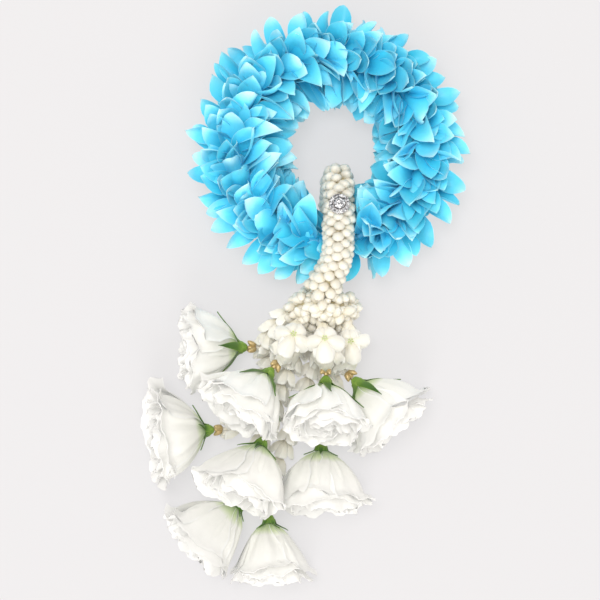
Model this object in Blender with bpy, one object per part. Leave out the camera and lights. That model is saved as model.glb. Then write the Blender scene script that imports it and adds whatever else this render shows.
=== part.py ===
"""A hand garland laid flat: a ring of dyed blue petals strung on a cord hoop, a strap of
jasmine buds looped round the ring, and a tassel of crown flower strands that end in white blooms.

Metres, +Z up. The ring's centre is the origin while the pieces are made, with the tassel towards
-Y. At the end everything moves under one empty, so that the origin is the middle of the underside.
"""

import math
import random
from collections import namedtuple

import bmesh
import bpy
import numpy as np
from mathutils.bvhtree import BVHTree

# Clearance between pieces, the seed of every random draw, and points to each stretch of a curve
GAP = 0.0003
SEED = 7
CURVE_POINTS = 24
DOWN = np.array([0.0, 0.0, -1.0])

# Ring of petals: cord hoop, packed petal bases round it, petals from there to the outline
HOOP_RADIUS = 0.0605
CORD_RADIUS = 0.0015
BORE_RADIUS = CORD_RADIUS + GAP
CORE_RADIUS = 0.0052
CORE_SIDES = 8
CORD_STEP = math.radians(12)
CORD_STEPS = 30
HALF_STATION = math.radians(4)
SECTOR_SPAN = math.radians(48)
SECTORS = 7
STRAP_AZIMUTH = math.radians(-84)
STRAP_SPAN = math.radians(24)
PETAL_LENGTH = 0.0270
PETAL_WIDTH = 0.0150
PETAL_RIB = 0.0012
PETAL_CUP = 0.16
PETAL_ROOT = 0.9

# Rows of a petal's points before its tip: share of its length, of its half width and of its rib
PETAL_ROWS = ((0.40, 0.92, 0.52), (0.70, 0.84, 0.50))

# Lean and twist of each row of petals in degrees, from the outer row over the crest, the inner
# side and the underside
ROW_LEAN = (18, 28, 48, 26, 12, 10, 10, 12)
ROW_TWIST = (30, 34, 74, 18, 16, 20, 28, 28)
CREST_ROW = 2
SPARSE_ROWS = (3, 4, 5)
SLEEVE_ROWS = (0, 4)
SLEEVE_LENGTH = 0.62

# How far a petal strays from the regular one: lean, twist and section in degrees, length and
# width as shares, and its curl. Petals of the underside and the inner side are smaller
STRAY_LEAN = 12
STRAY_TWIST = 12
STRAY_SECTION = 10
STRAY_LENGTH = 0.10
STRAY_WIDTH = 0.08
SMALLER = 0.08
CURL = 0.06
STRAY_CURL = 0.12

# Ways to bend a petal clear of the strap: added lean in degrees, and length kept. A petal keeps
# this share of its width however short it is
BENDS = ((0, 1.0), (-15, 1.0), (-30, 1.0), (15, 1.0), (-15, 0.8), (0, 0.8), (-30, 0.8),
         (0, 0.6), (-30, 0.6), (0, 0.42), (-30, 0.42), (0, 0.25))
LEAST_WIDTH = 0.4
STRAP_CLEARANCE = 0.0008
COLLAR_CLEARANCE = 0.0010

# Ways to keep a petal off its neighbours: how far it strays from the regular one, and length kept
STRAYS = ((1.0, 1.0), (0.7, 1.0), (-0.7, 1.0), (0.4, 1.0), (-0.4, 1.0), (0.0, 1.0), (0.4, 0.85),
          (0.0, 0.85), (-0.4, 0.7), (0.0, 0.7), (0.0, 0.5))

# Petals share the corners of their feet, so they are tested against each other with the feet
# drawn in by these shares, and only against those placed within this angle
FOOT_SHRINKS = (0.02, 0.004)
NEAR_ANGLE = 0.5

# Strap: a rope of jasmine buds, over the ring and back under it
STRAP_RADIUS = 0.0112
BUDS_ROUND = 7
BUD_PITCH = 0.0068
BUD_SHOULDER = 0.0012
BUD_GROOVE = 0.0019
SLEEVE_RADIUS = 0.0069
ROPE_FLAT = 0.0007
BUD_SEAT = 0.0009
ROPE_SEAT = SLEEVE_RADIUS + GAP + STRAP_RADIUS - BUD_SEAT
HOOP_HEIGHT = STRAP_RADIUS - ROPE_FLAT + ROPE_SEAT
STRAP_OVER = HOOP_HEIGHT + ROPE_SEAT
STRAP_UNDER = HOOP_HEIGHT - ROPE_SEAT
STRAP_X = 0.0062
STRAP_SPLIT_Y = -0.036

# Brooch on the strap: a dish with a scalloped rim, a raised well for the stone, and a shank
BROOCH_Y = -0.0415
BROOCH_SIDES = 20
BROOCH_RIM = 0.0068
BROOCH_SCALLOP = 0.92
BROOCH_WELL = 0.0040
BROOCH_SHANK = 0.0009
BROOCH_HEIGHTS = (-0.0050, 0.0, 0.0, 0.0016, 0.0024, 0.0010)
STONE_SIDES = 8
STONE_RADII = (0.0028, 0.0036, 0.0022)
STONE_HEIGHTS = (0.0010 + GAP, 0.0026, 0.0036)
SHANK_BORE = 0.0013
SHANK_BORE_HEIGHTS = (-0.0056, 0.0020)

# Collar: the dome of buds where the strap's two ends meet the strands
COLLAR_FACE_Y = -0.0925
COLLAR_X = -0.004
COLLAR_HALF_WIDTH = 0.0245
COLLAR_HALF_HEIGHT = 0.0243
COLLAR_DEPTH = 0.0245
COLLAR_FLAT = 0.0022
COLLAR_SIDES = 28
COLLAR_SHOULDER = 0.93
COLLAR_GROOVE = 0.90

# Share of the collar's depth, and share of its half width and half height there
COLLAR_PROFILE = ((0.0, 0.74), (0.10, 0.93), (0.26, 1.0), (0.44, 0.98), (0.62, 0.89), (0.77, 0.73),
                  (0.89, 0.52), (0.97, 0.28), (1.0, 0.10))

# Blooms: funnels of petals, from the calyx root to the mouth
CUP_LENGTH = 0.0062
CUP_RADIUS = 0.0042
CUP_ROWS = ((0.0, 0.0018), (0.0026, 0.0036), (CUP_LENGTH, CUP_RADIUS))
FUNNEL_BASE = 0.8
FUNNEL_POWER = 0.84
PETAL_SKIN = 0.0005
PRESS_SHARE = 0.30

# Each petal of a bloom overlaps the next: its edges lie this far inside and outside the wall at
# the foot, and this much more at the mouth. The rim falls back at the edges and is ruffled. Its
# faces look this much back along the axis
LAP_FOOT = 0.0006
LAP_MOUTH = 0.0016
PETAL_TILT = 0.4
RIM_FALL = 0.12
RUFFLE_OUT = 0.0014
RUFFLE_IN = -0.0008
RUFFLE_STRAY = 0.0006

# Outer and inner petals: half angle, size, length share, points across, and the rows before the
# rim as share of the length and of the half angle
PETALS_ROUND = 5
OUTER_PETALS = (math.radians(48), 1.0, 1.0, 5, ((0.30, 0.76), (0.66, 1.0)))
INNER_PETALS = (math.radians(44), 0.56, 1.04, 3, ((0.36, 0.9), (0.72, 1.0)))

# Receptacle that the petals grow from: height over the cup and radius of its rings
SEAT_BOTTOM = (0.0, 0.0036)
SEAT_OUTER = (0.0022, 0.0060)
SEAT_NOTCH = 0.0052
SEAT_INNER = (0.0030, 0.0042)
SEAT_HEART = (0.0036, 0.0035)

# Rolled heart: share of the length and radius of its rings, their fluting, and where its tip is
HEART_RINGS = ((0.40, 0.0040), (0.80, 0.0062))
HEART_FLUTE = 0.8
HEART_TIP = 0.96

# Sepals lie over the petals: place of their bend and tip along the axis, the room under each,
# half their width, how far their two faces lie off the middle and look back along the axis
SEPAL_BEND = 0.0105
SEPAL_REACH = 0.0225
BEND_ROOM = 0.0030
TIP_ROOM = 0.0044
SEPAL_HALF_WIDTH = 0.0022
SEPAL_UNDER = 0.0001
SEPAL_OVER = 0.0008
SEPAL_TILT = 0.6

# Blooms that reach deeper than this into each other, with some room for their petals, are pressed
# against the plane between them, in turn with the table and as often as it takes to settle
PRESS_ROOM = 0.003
PRESS_DEPTH = 0.001
PRESS_SAMPLES = 12
PRESS_TURNS = 3

# Golden buds behind a calyx: number, length, reach, and their profile from share of the length to
# share of the reach
GOLD_COUNT = 4
GOLD_LENGTH = 0.0056
GOLD_RADIUS = 0.0042
GOLD_PROFILE = ((0.0, 0.30), (0.35, 0.95), (0.75, 1.0), (1.0, 0.42))
GOLD_NOTCH = 0.45
GOLD_END = 0.8

# Strands: crown flowers on a thread
THREAD_RADIUS = 0.0020
FLOWER_LENGTH = 0.0135
FLOWER_RADIUS = 0.0054
BELL_RADIUS = 0.0088
STRAND_LOBES = 5
STRAND_STEP = 0.0005
STRAND_END = 0.006
STRAND_SIDE = (1, 0.2, 0.1)
START_TRIES = 60

# Profiles of a crown flower and of a large one: share of the length, radius, and notch between
# the lobes
FLOWER = ((0.12, THREAD_RADIUS, 1.0), (0.60, FLOWER_RADIUS, 0.66))
BELL = ((0.10, THREAD_RADIUS, 1.0), (0.40, BELL_RADIUS, 0.62), (0.80, BELL_RADIUS * 0.9, 0.6))

Bloom = namedtuple("Bloom", "root mouth radius roll bell route")

# Calyx root, centre of the mouth, mouth radius, roll about the axis, whether the strand is one
# large crown flower, and the strand's own points between the collar and the calyx
BLOOMS = (
    Bloom((-0.053, -0.129, 0.013), (-0.096, -0.128, 0.022), 0.0255, 10, False,
          ((-0.024, -0.104, 0.024), (-0.037, -0.117, 0.017))),
    Bloom((-0.036, -0.142, 0.036), (-0.061, -0.173, 0.052), 0.0280, 50, True,
          ((-0.019, -0.109, 0.037), (-0.025, -0.127, 0.039))),
    Bloom((-0.0750, -0.183, 0.012), (-0.1165, -0.1865, 0.0235), 0.0285, 70, False,
          ((-0.020, -0.107, 0.008), (-0.0300, -0.126, 0.008), (-0.0450, -0.149, 0.008),
           (-0.0615, -0.170, 0.009))),
    Bloom((-0.0415, -0.187, 0.030), (-0.060, -0.226, 0.047), 0.0285, 0, False,
          ((-0.014, -0.112, 0.024), (-0.022, -0.132, 0.022), (-0.034, -0.165, 0.024))),
    Bloom((-0.0015, -0.147, 0.036), (-0.0030, -0.183, 0.054), 0.0265, 20, True,
          ((-0.003, -0.1105, 0.039), (-0.002, -0.130, 0.041))),
    Bloom((0.0165, -0.149, 0.016), (0.047, -0.183, 0.022), 0.0265, 40, True,
          ((0.012, -0.109, 0.026), (0.0145, -0.128, 0.022))),
    Bloom((-0.004, -0.191, 0.012), (-0.006, -0.236, 0.022), 0.0285, 15, False,
          ((0.005, -0.1135, 0.009), (0.0055, -0.131, 0.0065), (0.003, -0.156, 0.008),
           (-0.002, -0.178, 0.009))),
    Bloom((-0.0385, -0.239, 0.011), (-0.0385, -0.282, 0.021), 0.0245, 51, False,
          ((-0.005, -0.1155, 0.008), (-0.0055, -0.130, 0.008), (-0.015, -0.156, 0.008),
           (-0.029, -0.195, 0.0065), (-0.038, -0.222, 0.008))),
    Bloom((-0.0555, -0.230, 0.012), (-0.090, -0.263, 0.021), 0.0250, 47, False,
          ((-0.014, -0.112, 0.008), (-0.017, -0.128, 0.008), (-0.0285, -0.152, 0.008),
           (-0.044, -0.190, 0.0065))),
)

WHITE = (0.93, 0.93, 0.90, 1.0)
CREAM = (0.93, 0.90, 0.80, 1.0)
MATERIALS = {
    "blue_petal": ((0.10, 0.56, 0.80, 1.0), 0.55, 0.0),
    "cotton_cord": ((0.85, 0.82, 0.74, 1.0), 0.9, 0.0),
    "jasmine_bud": (CREAM, 0.5, 0.0),
    "crown_flower": (CREAM, 0.45, 0.0),
    "white_bloom": (WHITE, 0.5, 0.0),
    "green_calyx": ((0.16, 0.33, 0.07, 1.0), 0.5, 0.0),
    "gold_bud": ((0.72, 0.50, 0.17, 1.0), 0.4, 0.0),
    "silver": ((0.80, 0.80, 0.82, 1.0), 0.2, 1.0),
    "crystal": ((0.88, 0.88, 0.92, 1.0), 0.05, 0.0),
}


class Shape:
    """Points and triangles of one closed surface while it is put together."""

    def __init__(self):
        self.points = []
        self.faces = []

    def add(self, points):
        """Adds points and returns their numbers."""
        first = len(self.points)
        self.points += [np.asarray(p, float) for p in points]
        return list(range(first, len(self.points)))

    def bridge(self, ring, following):
        """Joins two rings of as many points. Both halves of a ring, which are the two faces of a
        blade, are split into the same triangles."""
        count = len(ring)
        for j in range(count):
            k = (j + 1) % count
            a, b, c, d = ring[j], ring[k], following[k], following[j]
            if j < count // 2:
                self.faces += [(a, b, c), (a, c, d)]
            else:
                self.faces += [(a, b, d), (b, c, d)]

    def fan(self, ring, tip):
        """Closes a ring to one point."""
        for j, here in enumerate(ring):
            self.faces.append((here, ring[(j + 1) % len(ring)], tip))

    def blade(self, base, rows, end):
        """Grows a blade from a ring of points on the surface. Each row is a ring of as many
        points. end is one point, or the points along a sharp far edge."""
        ring = base
        for row in rows:
            following = self.add(row)
            self.bridge(ring, following)
            ring = following
        tip = self.add(end)
        if len(tip) == 1:
            self.fan(ring, tip[0])
        else:
            self.bridge(ring, tip + tip[-2:0:-1])

    def pressed(self, presses):
        """The shape as arrays, flattened by each press in turn."""
        points = np.array(self.points)
        for one in presses:
            points = press(points, *one)
        return points, self.faces


def unit(vector):
    """The vector at length one."""
    vector = np.asarray(vector, float)
    return vector / np.linalg.norm(vector)


def new_object(name, mesh_points, faces, material):
    """A closed mesh object with its faces pointing out."""
    mesh = bpy.data.meshes.new(name)
    mesh.from_pydata([tuple(p) for p in mesh_points], [], faces)
    sides = bmesh.new()
    sides.from_mesh(mesh)
    bmesh.ops.recalc_face_normals(sides, faces=sides.faces)
    if sides.calc_volume(signed=True) < 0:
        bmesh.ops.reverse_faces(sides, faces=sides.faces)
    sides.to_mesh(mesh)
    sides.free()
    mesh.materials.append(material_named(material))
    made = bpy.data.objects.new(name, mesh)
    bpy.context.scene.collection.objects.link(made)
    return made


def material_named(name):
    """The Principled material of that name, made on first use."""
    found = bpy.data.materials.get(name)
    if found:
        return found
    colour, roughness, metallic = MATERIALS[name]
    found = bpy.data.materials.new(name)
    found.use_nodes = True
    shader = found.node_tree.nodes["Principled BSDF"]
    shader.inputs["Base Color"].default_value = colour
    shader.inputs["Roughness"].default_value = roughness
    shader.inputs["Metallic"].default_value = metallic
    return found


def surface_tree(points, faces):
    """A tree of one closed shape, to test what it crosses."""
    return BVHTree.FromPolygons([tuple(p) for p in points], faces)


def tree_of(made):
    """The same for an object at its place."""
    return surface_tree([v.co for v in made.data.vertices], [tuple(f.vertices) for f in made.data.polygons])


def cut(made, cutter_points, cutter_faces):
    """Takes a closed shape out of a solid."""
    cutter = new_object("cutter", cutter_points, cutter_faces, "cotton_cord")
    boolean = made.modifiers.new("hole", "BOOLEAN")
    boolean.object = cutter
    boolean.operation = "DIFFERENCE"
    graph = bpy.context.evaluated_depsgraph_get()
    solid = bpy.data.meshes.new_from_object(made.evaluated_get(graph))
    made.modifiers.clear()
    made.data = solid
    bpy.data.objects.remove(cutter)


def flatten_on_table(made):
    """Cuts off what lies below the table plane, which leaves flat spots at Z 0."""
    shape = bmesh.new()
    shape.from_mesh(made.data)
    geometry = shape.verts[:] + shape.edges[:] + shape.faces[:]
    done = bmesh.ops.bisect_plane(
        shape, geom=geometry, plane_co=(0, 0, 0), plane_no=(0, 0, 1), clear_inner=True
    )
    rims = [e for e in done["geom_cut"] if isinstance(e, bmesh.types.BMEdge)]
    bmesh.ops.holes_fill(shape, edges=rims)
    bmesh.ops.triangulate(shape, faces=shape.faces)
    shape.to_mesh(made.data)
    shape.free()


def press(points, origin, normal, limit):
    """Flattens points against a plane: those near or past it are squeezed into a thin layer that
    ends at the limit, and keep their order, as petals do against a table or a neighbour."""
    depth = (points - origin) @ normal
    deepest = depth.max()
    if deepest <= limit:
        return points
    start = (limit - PRESS_SHARE * deepest) / (1 - PRESS_SHARE)
    past = np.maximum(depth - start, 0.0) * (1 - PRESS_SHARE)
    return points - past[:, None] * normal


def section_row(middle, across, normal, wide, half):
    """One row of a petal: its left edge, upper face, right edge and lower face, with both edges
    lifted."""
    lift = normal * PETAL_CUP * wide
    return [middle - across * wide + lift, middle + normal * half,
            middle + across * wide + lift, middle - normal * half]


def loft(rings):
    """A closed shape through rings of points, with a flat cap at each end."""
    rings = np.asarray(rings, float)
    count, sides = rings.shape[:2]
    faces = []
    for i in range(count - 1):
        for j in range(sides):
            k = (j + 1) % sides
            a, b = i * sides + j, i * sides + k
            c, d = (i + 1) * sides + k, (i + 1) * sides + j
            if (i + j) % 2:
                faces += [(a, b, c), (a, c, d)]
            else:
                faces += [(a, b, d), (b, c, d)]
    faces.append(tuple(reversed(range(sides))))
    faces.append(tuple(range((count - 1) * sides, count * sides)))
    return rings.reshape(-1, 3), faces


def smooth_route(points, spacing):
    """Evenly spaced points on a smooth curve (Catmull-Rom) through the given ones."""
    knots = np.asarray(points, float)
    padded = np.vstack([2 * knots[0] - knots[1], knots, 2 * knots[-1] - knots[-2]])
    steps = np.linspace(0, 1, CURVE_POINTS, endpoint=False)[:, None]
    dense = []
    for p0, p1, p2, p3 in zip(padded, padded[1:], padded[2:], padded[3:]):
        dense.append(0.5 * (2 * p1 + (p2 - p0) * steps
                            + (2 * p0 - 5 * p1 + 4 * p2 - p3) * steps**2
                            + (3 * p1 - p0 - 3 * p2 + p3) * steps**3))
    dense = np.vstack(dense + [knots[-1:]])
    length = np.concatenate([[0], np.cumsum(np.linalg.norm(np.diff(dense, axis=0), axis=1))])
    count = max(2, int(round(length[-1] / spacing)) + 1)
    wanted = np.linspace(0, length[-1], count)
    return np.stack([np.interp(wanted, length, dense[:, k]) for k in range(3)], axis=1)


def frames_along(route, first_side):
    """Tangent, side and top direction at each point, carried along without twisting."""
    tangents = np.gradient(route, axis=0)
    tangents /= np.linalg.norm(tangents, axis=1)[:, None]
    side = np.asarray(first_side, float)
    sides = []
    for tangent in tangents:
        side = unit(side - tangent * (side @ tangent))
        sides.append(side)
    sides = np.array(sides)
    return tangents, sides, np.cross(tangents, sides)


def tube_rings(route, radii, first_side=(1, 0, 0)):
    """Rings round a route. radii has one row for each point and one column for each side."""
    _, sides, tops = frames_along(route, first_side)
    angles = np.arange(radii.shape[1]) * 2 * math.pi / radii.shape[1]
    around = np.cos(angles)[None, :, None] * sides[:, None] + np.sin(angles)[None, :, None] * tops[:, None]
    return route[:, None] + around * radii[..., None]


def bud_skin(rows, columns, peak, shoulder, groove):
    """Radii of a skin of staggered buds: a peak at each bud, lower between them."""
    radii = np.full((rows, columns), groove)
    for i in range(0, rows, 2):
        shift = (i // 2) % 2
        radii[i] = [peak if (j + shift) % 2 == 0 else shoulder for j in range(columns)]
    return radii


def ring_direction(azimuth):
    """Outward and clockwise directions of the ring at an azimuth."""
    outward = np.array([math.cos(azimuth), math.sin(azimuth), 0.0])
    clockwise = np.array([math.sin(azimuth), -math.cos(azimuth), 0.0])
    return outward, clockwise


def hoop_circle(azimuth, wall):
    """Points round the hoop's centreline at one azimuth, at the given distance from it."""
    outward, _ = ring_direction(azimuth)
    angles = np.arange(CORE_SIDES) * 2 * math.pi / CORE_SIDES
    reach = HOOP_RADIUS + wall * np.cos(angles)
    return outward * reach[:, None] + np.outer(HOOP_HEIGHT + wall * np.sin(angles), (0, 0, 1))


def hoop():
    """The cord hoop that the petals are strung on."""
    shape = Shape()
    rings = [shape.add(hoop_circle(STRAP_AZIMUTH + CORD_STEP * i, CORD_RADIUS)) for i in range(CORD_STEPS)]
    for ring, following in zip(rings, rings[1:] + rings[:1]):
        shape.bridge(ring, following)
    return new_object("hoop_cord", *shape.pressed([]), "cotton_cord")


def petal_rows(azimuth, section, lean, twist, length, width, curl, root):
    """Rows and tip of one pointed petal. section is its angle round the hoop, 0 outwards and 90
    up. It leans clockwise along the hoop and turns about its own midrib by twist."""
    outward, clockwise = ring_direction(azimuth)
    up = np.array([0.0, 0.0, 1.0])
    radial = math.cos(section) * outward + math.sin(section) * up
    upward = math.cos(section) * up - math.sin(section) * outward
    forward = math.cos(lean) * radial + math.sin(lean) * clockwise
    along = math.cos(lean) * clockwise - math.sin(lean) * radial
    across = math.cos(twist) * along + math.sin(twist) * upward
    normal = math.cos(twist) * upward - math.sin(twist) * along
    origin = HOOP_RADIUS * outward + HOOP_HEIGHT * up + root * radial
    rows = []
    for share, wide, thick in PETAL_ROWS:
        middle = origin + forward * length * share + normal * curl * share**2 * length
        rows.append(section_row(middle, across, normal, width / 2 * wide, PETAL_RIB * thick))
    return rows, origin + forward * length + normal * curl * length


def petal_plan(draws, azimuth, row, length_share):
    """Size and attitude of the petal at a place of the ring. draws holds six numbers from -1 to 1
    that set how far it strays from the regular one."""
    section = row * 2 * math.pi / CORE_SIDES
    rise, out = math.sin(section), math.cos(section)
    lean = ROW_LEAN[row] + STRAY_LEAN * draws[0]
    twist = ROW_TWIST[row] + STRAY_TWIST * draws[1]
    length = PETAL_LENGTH * (1 - SMALLER * max(-rise, 0)) * (1 + STRAY_LENGTH * draws[2]) * length_share
    width = PETAL_WIDTH * (1 - SMALLER * max(-out, 0)) * (1 + STRAY_WIDTH * draws[3])
    return (azimuth, section + math.radians(STRAY_SECTION * draws[4]), math.radians(lean),
            math.radians(twist), length, width, CURL + STRAY_CURL * draws[5])


def bent_clear(plan, root, route):
    """The petal's rows and tip, leaned or shortened until it clears the strap and the collar."""
    azimuth, section, first_lean, twist, length, width, curl = plan
    for lean, share in BENDS:
        rows, tip = petal_rows(azimuth, section, first_lean + math.radians(lean), twist,
                               length * share, width * (LEAST_WIDTH + (1 - LEAST_WIDTH) * share),
                               curl, root)
        points = np.array([*rows[0], *rows[1], tip])
        away = np.linalg.norm(points[:, None] - route[None], axis=2).min()
        near_collar = points[:, 1].min() < COLLAR_FACE_Y + COLLAR_CLEARANCE
        if away > STRAP_RADIUS + STRAP_CLEARANCE and not near_collar:
            break
    return rows, tip


def fitted_petal(rng, azimuth, row, length_share, base, root, route, placed):
    """A petal that crosses none of those placed before: first as irregular as it comes, then
    closer to the regular one, then shorter, and none where even that won't fit."""
    drawn = [rng.uniform(-1, 1) for _ in range(6)]
    for stray, share in STRAYS:
        plan = petal_plan([stray * d for d in drawn], azimuth, row, length_share * share)
        rows, tip = bent_clear(plan, root, route)
        if row > CORE_SIDES / 2:
            rows = rows[:1]
        trees = []
        for shrink in FOOT_SHRINKS:
            foot = np.array(base)
            foot += shrink * (np.mean(rows[0], axis=0) - foot)
            shape = Shape()
            shape.blade(shape.add(foot), rows, [tip])
            trees.append(surface_tree(shape.points, shape.faces))
        near = [others for place, others in placed
                if abs(math.remainder(place - azimuth, 2 * math.pi)) < NEAR_ANGLE]
        if not any(tree.overlap(other) for others in near for tree, other in zip(trees, others)):
            placed.append((azimuth, trees))
            return rows, tip
    return None


def petal_sector(name, first, span, wall, grown_rows, length_share, seed, route, placed, from_start):
    """One sector of the ring: packed petal bases round the hoop, whose surface is a lattice of
    diamonds, and a petal grown from each diamond."""
    rng = random.Random(seed)
    shape = Shape()
    columns = round(span / HALF_STATION)
    trim = GAP / 2 / HOOP_RADIUS
    lattice = []
    for i in range(columns + 1):
        azimuth = first + HALF_STATION * i
        azimuth += trim if i == 0 else -trim if i == columns else 0.0
        lattice.append(shape.add(hoop_circle(azimuth, wall)))
    for i in range(columns + 1):
        left, right = lattice[max(i - 1, 0)], lattice[min(i + 1, columns)]
        for j in range(CORE_SIDES):
            if (i + j) % 2 == 0:
                continue
            above, below = lattice[i][(j + 1) % CORE_SIDES], lattice[i][j - 1]
            base = [right[j], above, left[j], below]
            if j == CREST_ROW:
                base = [below, right[j], above, left[j]]
            grown = None
            kept = j not in SPARSE_ROWS or (i + j) % 4 == 1
            if kept and j in grown_rows and i < columns and (i > 0 or from_start):
                grown = fitted_petal(rng, first + HALF_STATION * i, j, length_share,
                                     [shape.points[k] for k in base], wall * PETAL_ROOT, route, placed)
            if grown:
                shape.blade(base, grown[0], [grown[1]])
            else:
                shape.faces += [(left[j], below, right[j]), (left[j], right[j], above)]
    steps = round(span / CORD_STEP)
    bores = []
    for i in range(steps + 1):
        azimuth = first + CORD_STEP * i + (trim if i == 0 else -trim if i == steps else 0.0)
        bores.append(shape.add(hoop_circle(azimuth, BORE_RADIUS)))
    for ring, following in zip(bores, bores[1:]):
        shape.bridge(following, ring)
    shape.bridge(bores[0], lattice[0])
    shape.bridge(lattice[-1], bores[-1])
    used = sorted({k for face in shape.faces for k in face})
    renumber = {k: n for n, k in enumerate(used)}
    shape.points = [shape.points[k] for k in used]
    shape.faces = [tuple(renumber[k] for k in face) for face in shape.faces]
    return new_object(name, *shape.pressed([(np.zeros(3), DOWN, 0.0)]), "blue_petal")


def petal_ring(route):
    """The hoop's petal sectors, and the squeezed one under the strap."""
    after_strap = STRAP_AZIMUTH + STRAP_SPAN / 2
    placed = []
    made = [petal_sector("petals_under_strap", after_strap - STRAP_SPAN, STRAP_SPAN, SLEEVE_RADIUS,
                         SLEEVE_ROWS, SLEEVE_LENGTH, SEED, route, placed, False)]
    for k in range(SECTORS):
        made.append(petal_sector(f"petals_{k + 1}", after_strap + SECTOR_SPAN * k, SECTOR_SPAN,
                                 CORE_RADIUS, range(CORE_SIDES), 1.0, SEED + k + 1, route, placed, k > 0))
    return made


def strap_route():
    """The middle of the rope: over the ring, down into its hole, and back under to the collar."""
    x = STRAP_X
    return smooth_route((
        (-0.0045, COLLAR_FACE_Y + GAP, 0.0345),
        (0.0005, -0.0820, 0.0420),
        (x - 0.0005, -0.0700, STRAP_OVER - 0.0010),
        (x, -0.0600, STRAP_OVER),
        (x + 0.0005, -0.0480, STRAP_OVER - 0.0015),
        (x + 0.0005, -0.0335, STRAP_OVER - 0.0055),
        (x, -0.0232, HOOP_HEIGHT + 0.0065),
        (x - 0.0004, -0.0208, HOOP_HEIGHT - 0.0025),
        (x - 0.0010, -0.0262, HOOP_HEIGHT - 0.0125),
        (x - 0.0020, -0.0420, STRAP_UNDER + 0.0008),
        (x - 0.0040, -0.0560, STRAP_UNDER),
        (x - 0.0060, -0.0760, STRAP_UNDER),
        (-0.0040, COLLAR_FACE_Y + GAP, STRAP_UNDER),
    ), BUD_PITCH / 2)


def nearest(route, y, upper):
    """Number of the route's point nearest to a Y, on its upper or its lower run."""
    other_run = (route[:, 2] > HOOP_HEIGHT) != upper
    return int(np.argmin(np.abs(route[:, 1] - y) + other_run))


def strap(route):
    """The rope of buds in three pieces. Both ends press against the collar's flat face."""
    columns = 2 * BUDS_ROUND
    radii = bud_skin(len(route), columns, STRAP_RADIUS, STRAP_RADIUS - BUD_SHOULDER,
                     STRAP_RADIUS - BUD_GROOVE)
    rings = tube_rings(route, radii)
    over, under = nearest(route, STRAP_SPLIT_Y, True), nearest(route, STRAP_SPLIT_Y, False)
    face = (np.array([0.0, COLLAR_FACE_Y + GAP, 0.0]), np.array([0.0, -1.0, 0.0]), 0.0)
    made = []
    for name, first, last in (("strap_front", 0, over), ("strap_turn", over, under),
                              ("strap_back", under, len(route) - 1)):
        piece = rings[first:last + 1].copy()
        if last < len(route) - 1:
            piece[-1] -= unit(route[last] - route[last - 1]) * GAP
        points, faces = loft(piece)
        made.append(new_object(name, press(points, *face), faces, "jasmine_bud"))
    flatten_on_table(made[2])
    return made


def brooch(strap_front, route):
    """A round silver brooch on the strap, a dish with a scalloped rim and a shank, and its stone."""
    seat = nearest(route, BROOCH_Y, True)
    along = unit(route[seat + 1] - route[seat - 1])
    side = np.array([1.0, 0.0, 0.0])
    ahead = along if along[1] > 0 else -along
    out = unit(np.cross(side, ahead))
    centre = route[seat] + out * (STRAP_RADIUS + GAP)

    def disc(radii, heights):
        rings = []
        for radius, height in zip(radii, heights):
            angles = np.arange(len(radius)) * 2 * math.pi / len(radius)
            rings.append([centre + out * height + (side * math.cos(t) + ahead * math.sin(t)) * r
                          for t, r in zip(angles, radius)])
        return np.array(rings)

    scallop = np.array([1.0, BROOCH_SCALLOP] * (BROOCH_SIDES // 2)) * BROOCH_RIM
    even = np.ones(BROOCH_SIDES)
    shank, well = even * BROOCH_SHANK, even * BROOCH_WELL
    rings = disc([shank, shank, scallop, scallop, well, well], BROOCH_HEIGHTS)
    setting = new_object("brooch_setting", *loft(rings), "silver")
    eight = np.ones(STONE_SIDES)
    cut_stone = disc([eight * r for r in STONE_RADII], STONE_HEIGHTS)
    stone = new_object("brooch_stone", *loft(cut_stone), "crystal")
    cut(strap_front, *loft(disc([eight * SHANK_BORE] * 2, SHANK_BORE_HEIGHTS)))
    return [setting, stone]


def collar():
    """The dome of buds. Its flat face takes the strap's two ends, and it rests on a flattened spot."""
    skin = bud_skin(len(COLLAR_PROFILE), COLLAR_SIDES, 1.0, COLLAR_SHOULDER, COLLAR_GROOVE)
    skin[0] = 1.0
    skin[-1] = 1.0
    rings = []
    for (depth, share), factors in zip(COLLAR_PROFILE, skin):
        ring = []
        for j, factor in enumerate(factors):
            angle = 2 * math.pi * j / COLLAR_SIDES
            reach = share * factor
            x = COLLAR_X + COLLAR_HALF_WIDTH * reach * math.cos(angle)
            z = COLLAR_HALF_HEIGHT * (1 + reach * math.sin(angle)) - COLLAR_FLAT
            ring.append((x, COLLAR_FACE_Y - COLLAR_DEPTH * depth, z))
        rings.append(ring)
    dome = new_object("bud_collar", *loft(rings), "jasmine_bud")
    flatten_on_table(dome)
    return dome


def strand_surface(bloom, start):
    """Crown flowers along a thread from the start to just behind the gold buds."""
    root, mouth = np.array(bloom.root), np.array(bloom.mouth)
    axis = unit(mouth - root)
    end = root - axis * (2 * GAP + GOLD_LENGTH)
    knots = [start, *[np.array(p) for p in bloom.route[1:]], end - axis * STRAND_END, end]
    route = smooth_route(knots, STRAND_STEP)
    length = STRAND_STEP * (len(route) - 1)
    thread = np.full(2 * STRAND_LOBES, THREAD_RADIUS)
    strung = [BELL] if bloom.bell else [FLOWER] * max(1, round(length / FLOWER_LENGTH))
    stations, rows = [0.0], [thread]
    for number, flower in enumerate(strung):
        for share, radius, notch in flower:
            stations.append(length * (number + share) / len(strung))
            rows.append(np.array([1.0, notch] * STRAND_LOBES) * radius)
    stations.append(length)
    rows.append(thread)
    at = np.array(stations) / STRAND_STEP
    steps = np.arange(len(route))
    middles = np.stack([np.interp(at, steps, route[:, k]) for k in range(3)], axis=1)
    points, faces = loft(tube_rings(middles, np.array(rows), STRAND_SIDE))
    points = press(points, end, axis, 0.0)
    return press(points, np.zeros(3), DOWN, 0.0), faces


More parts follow.
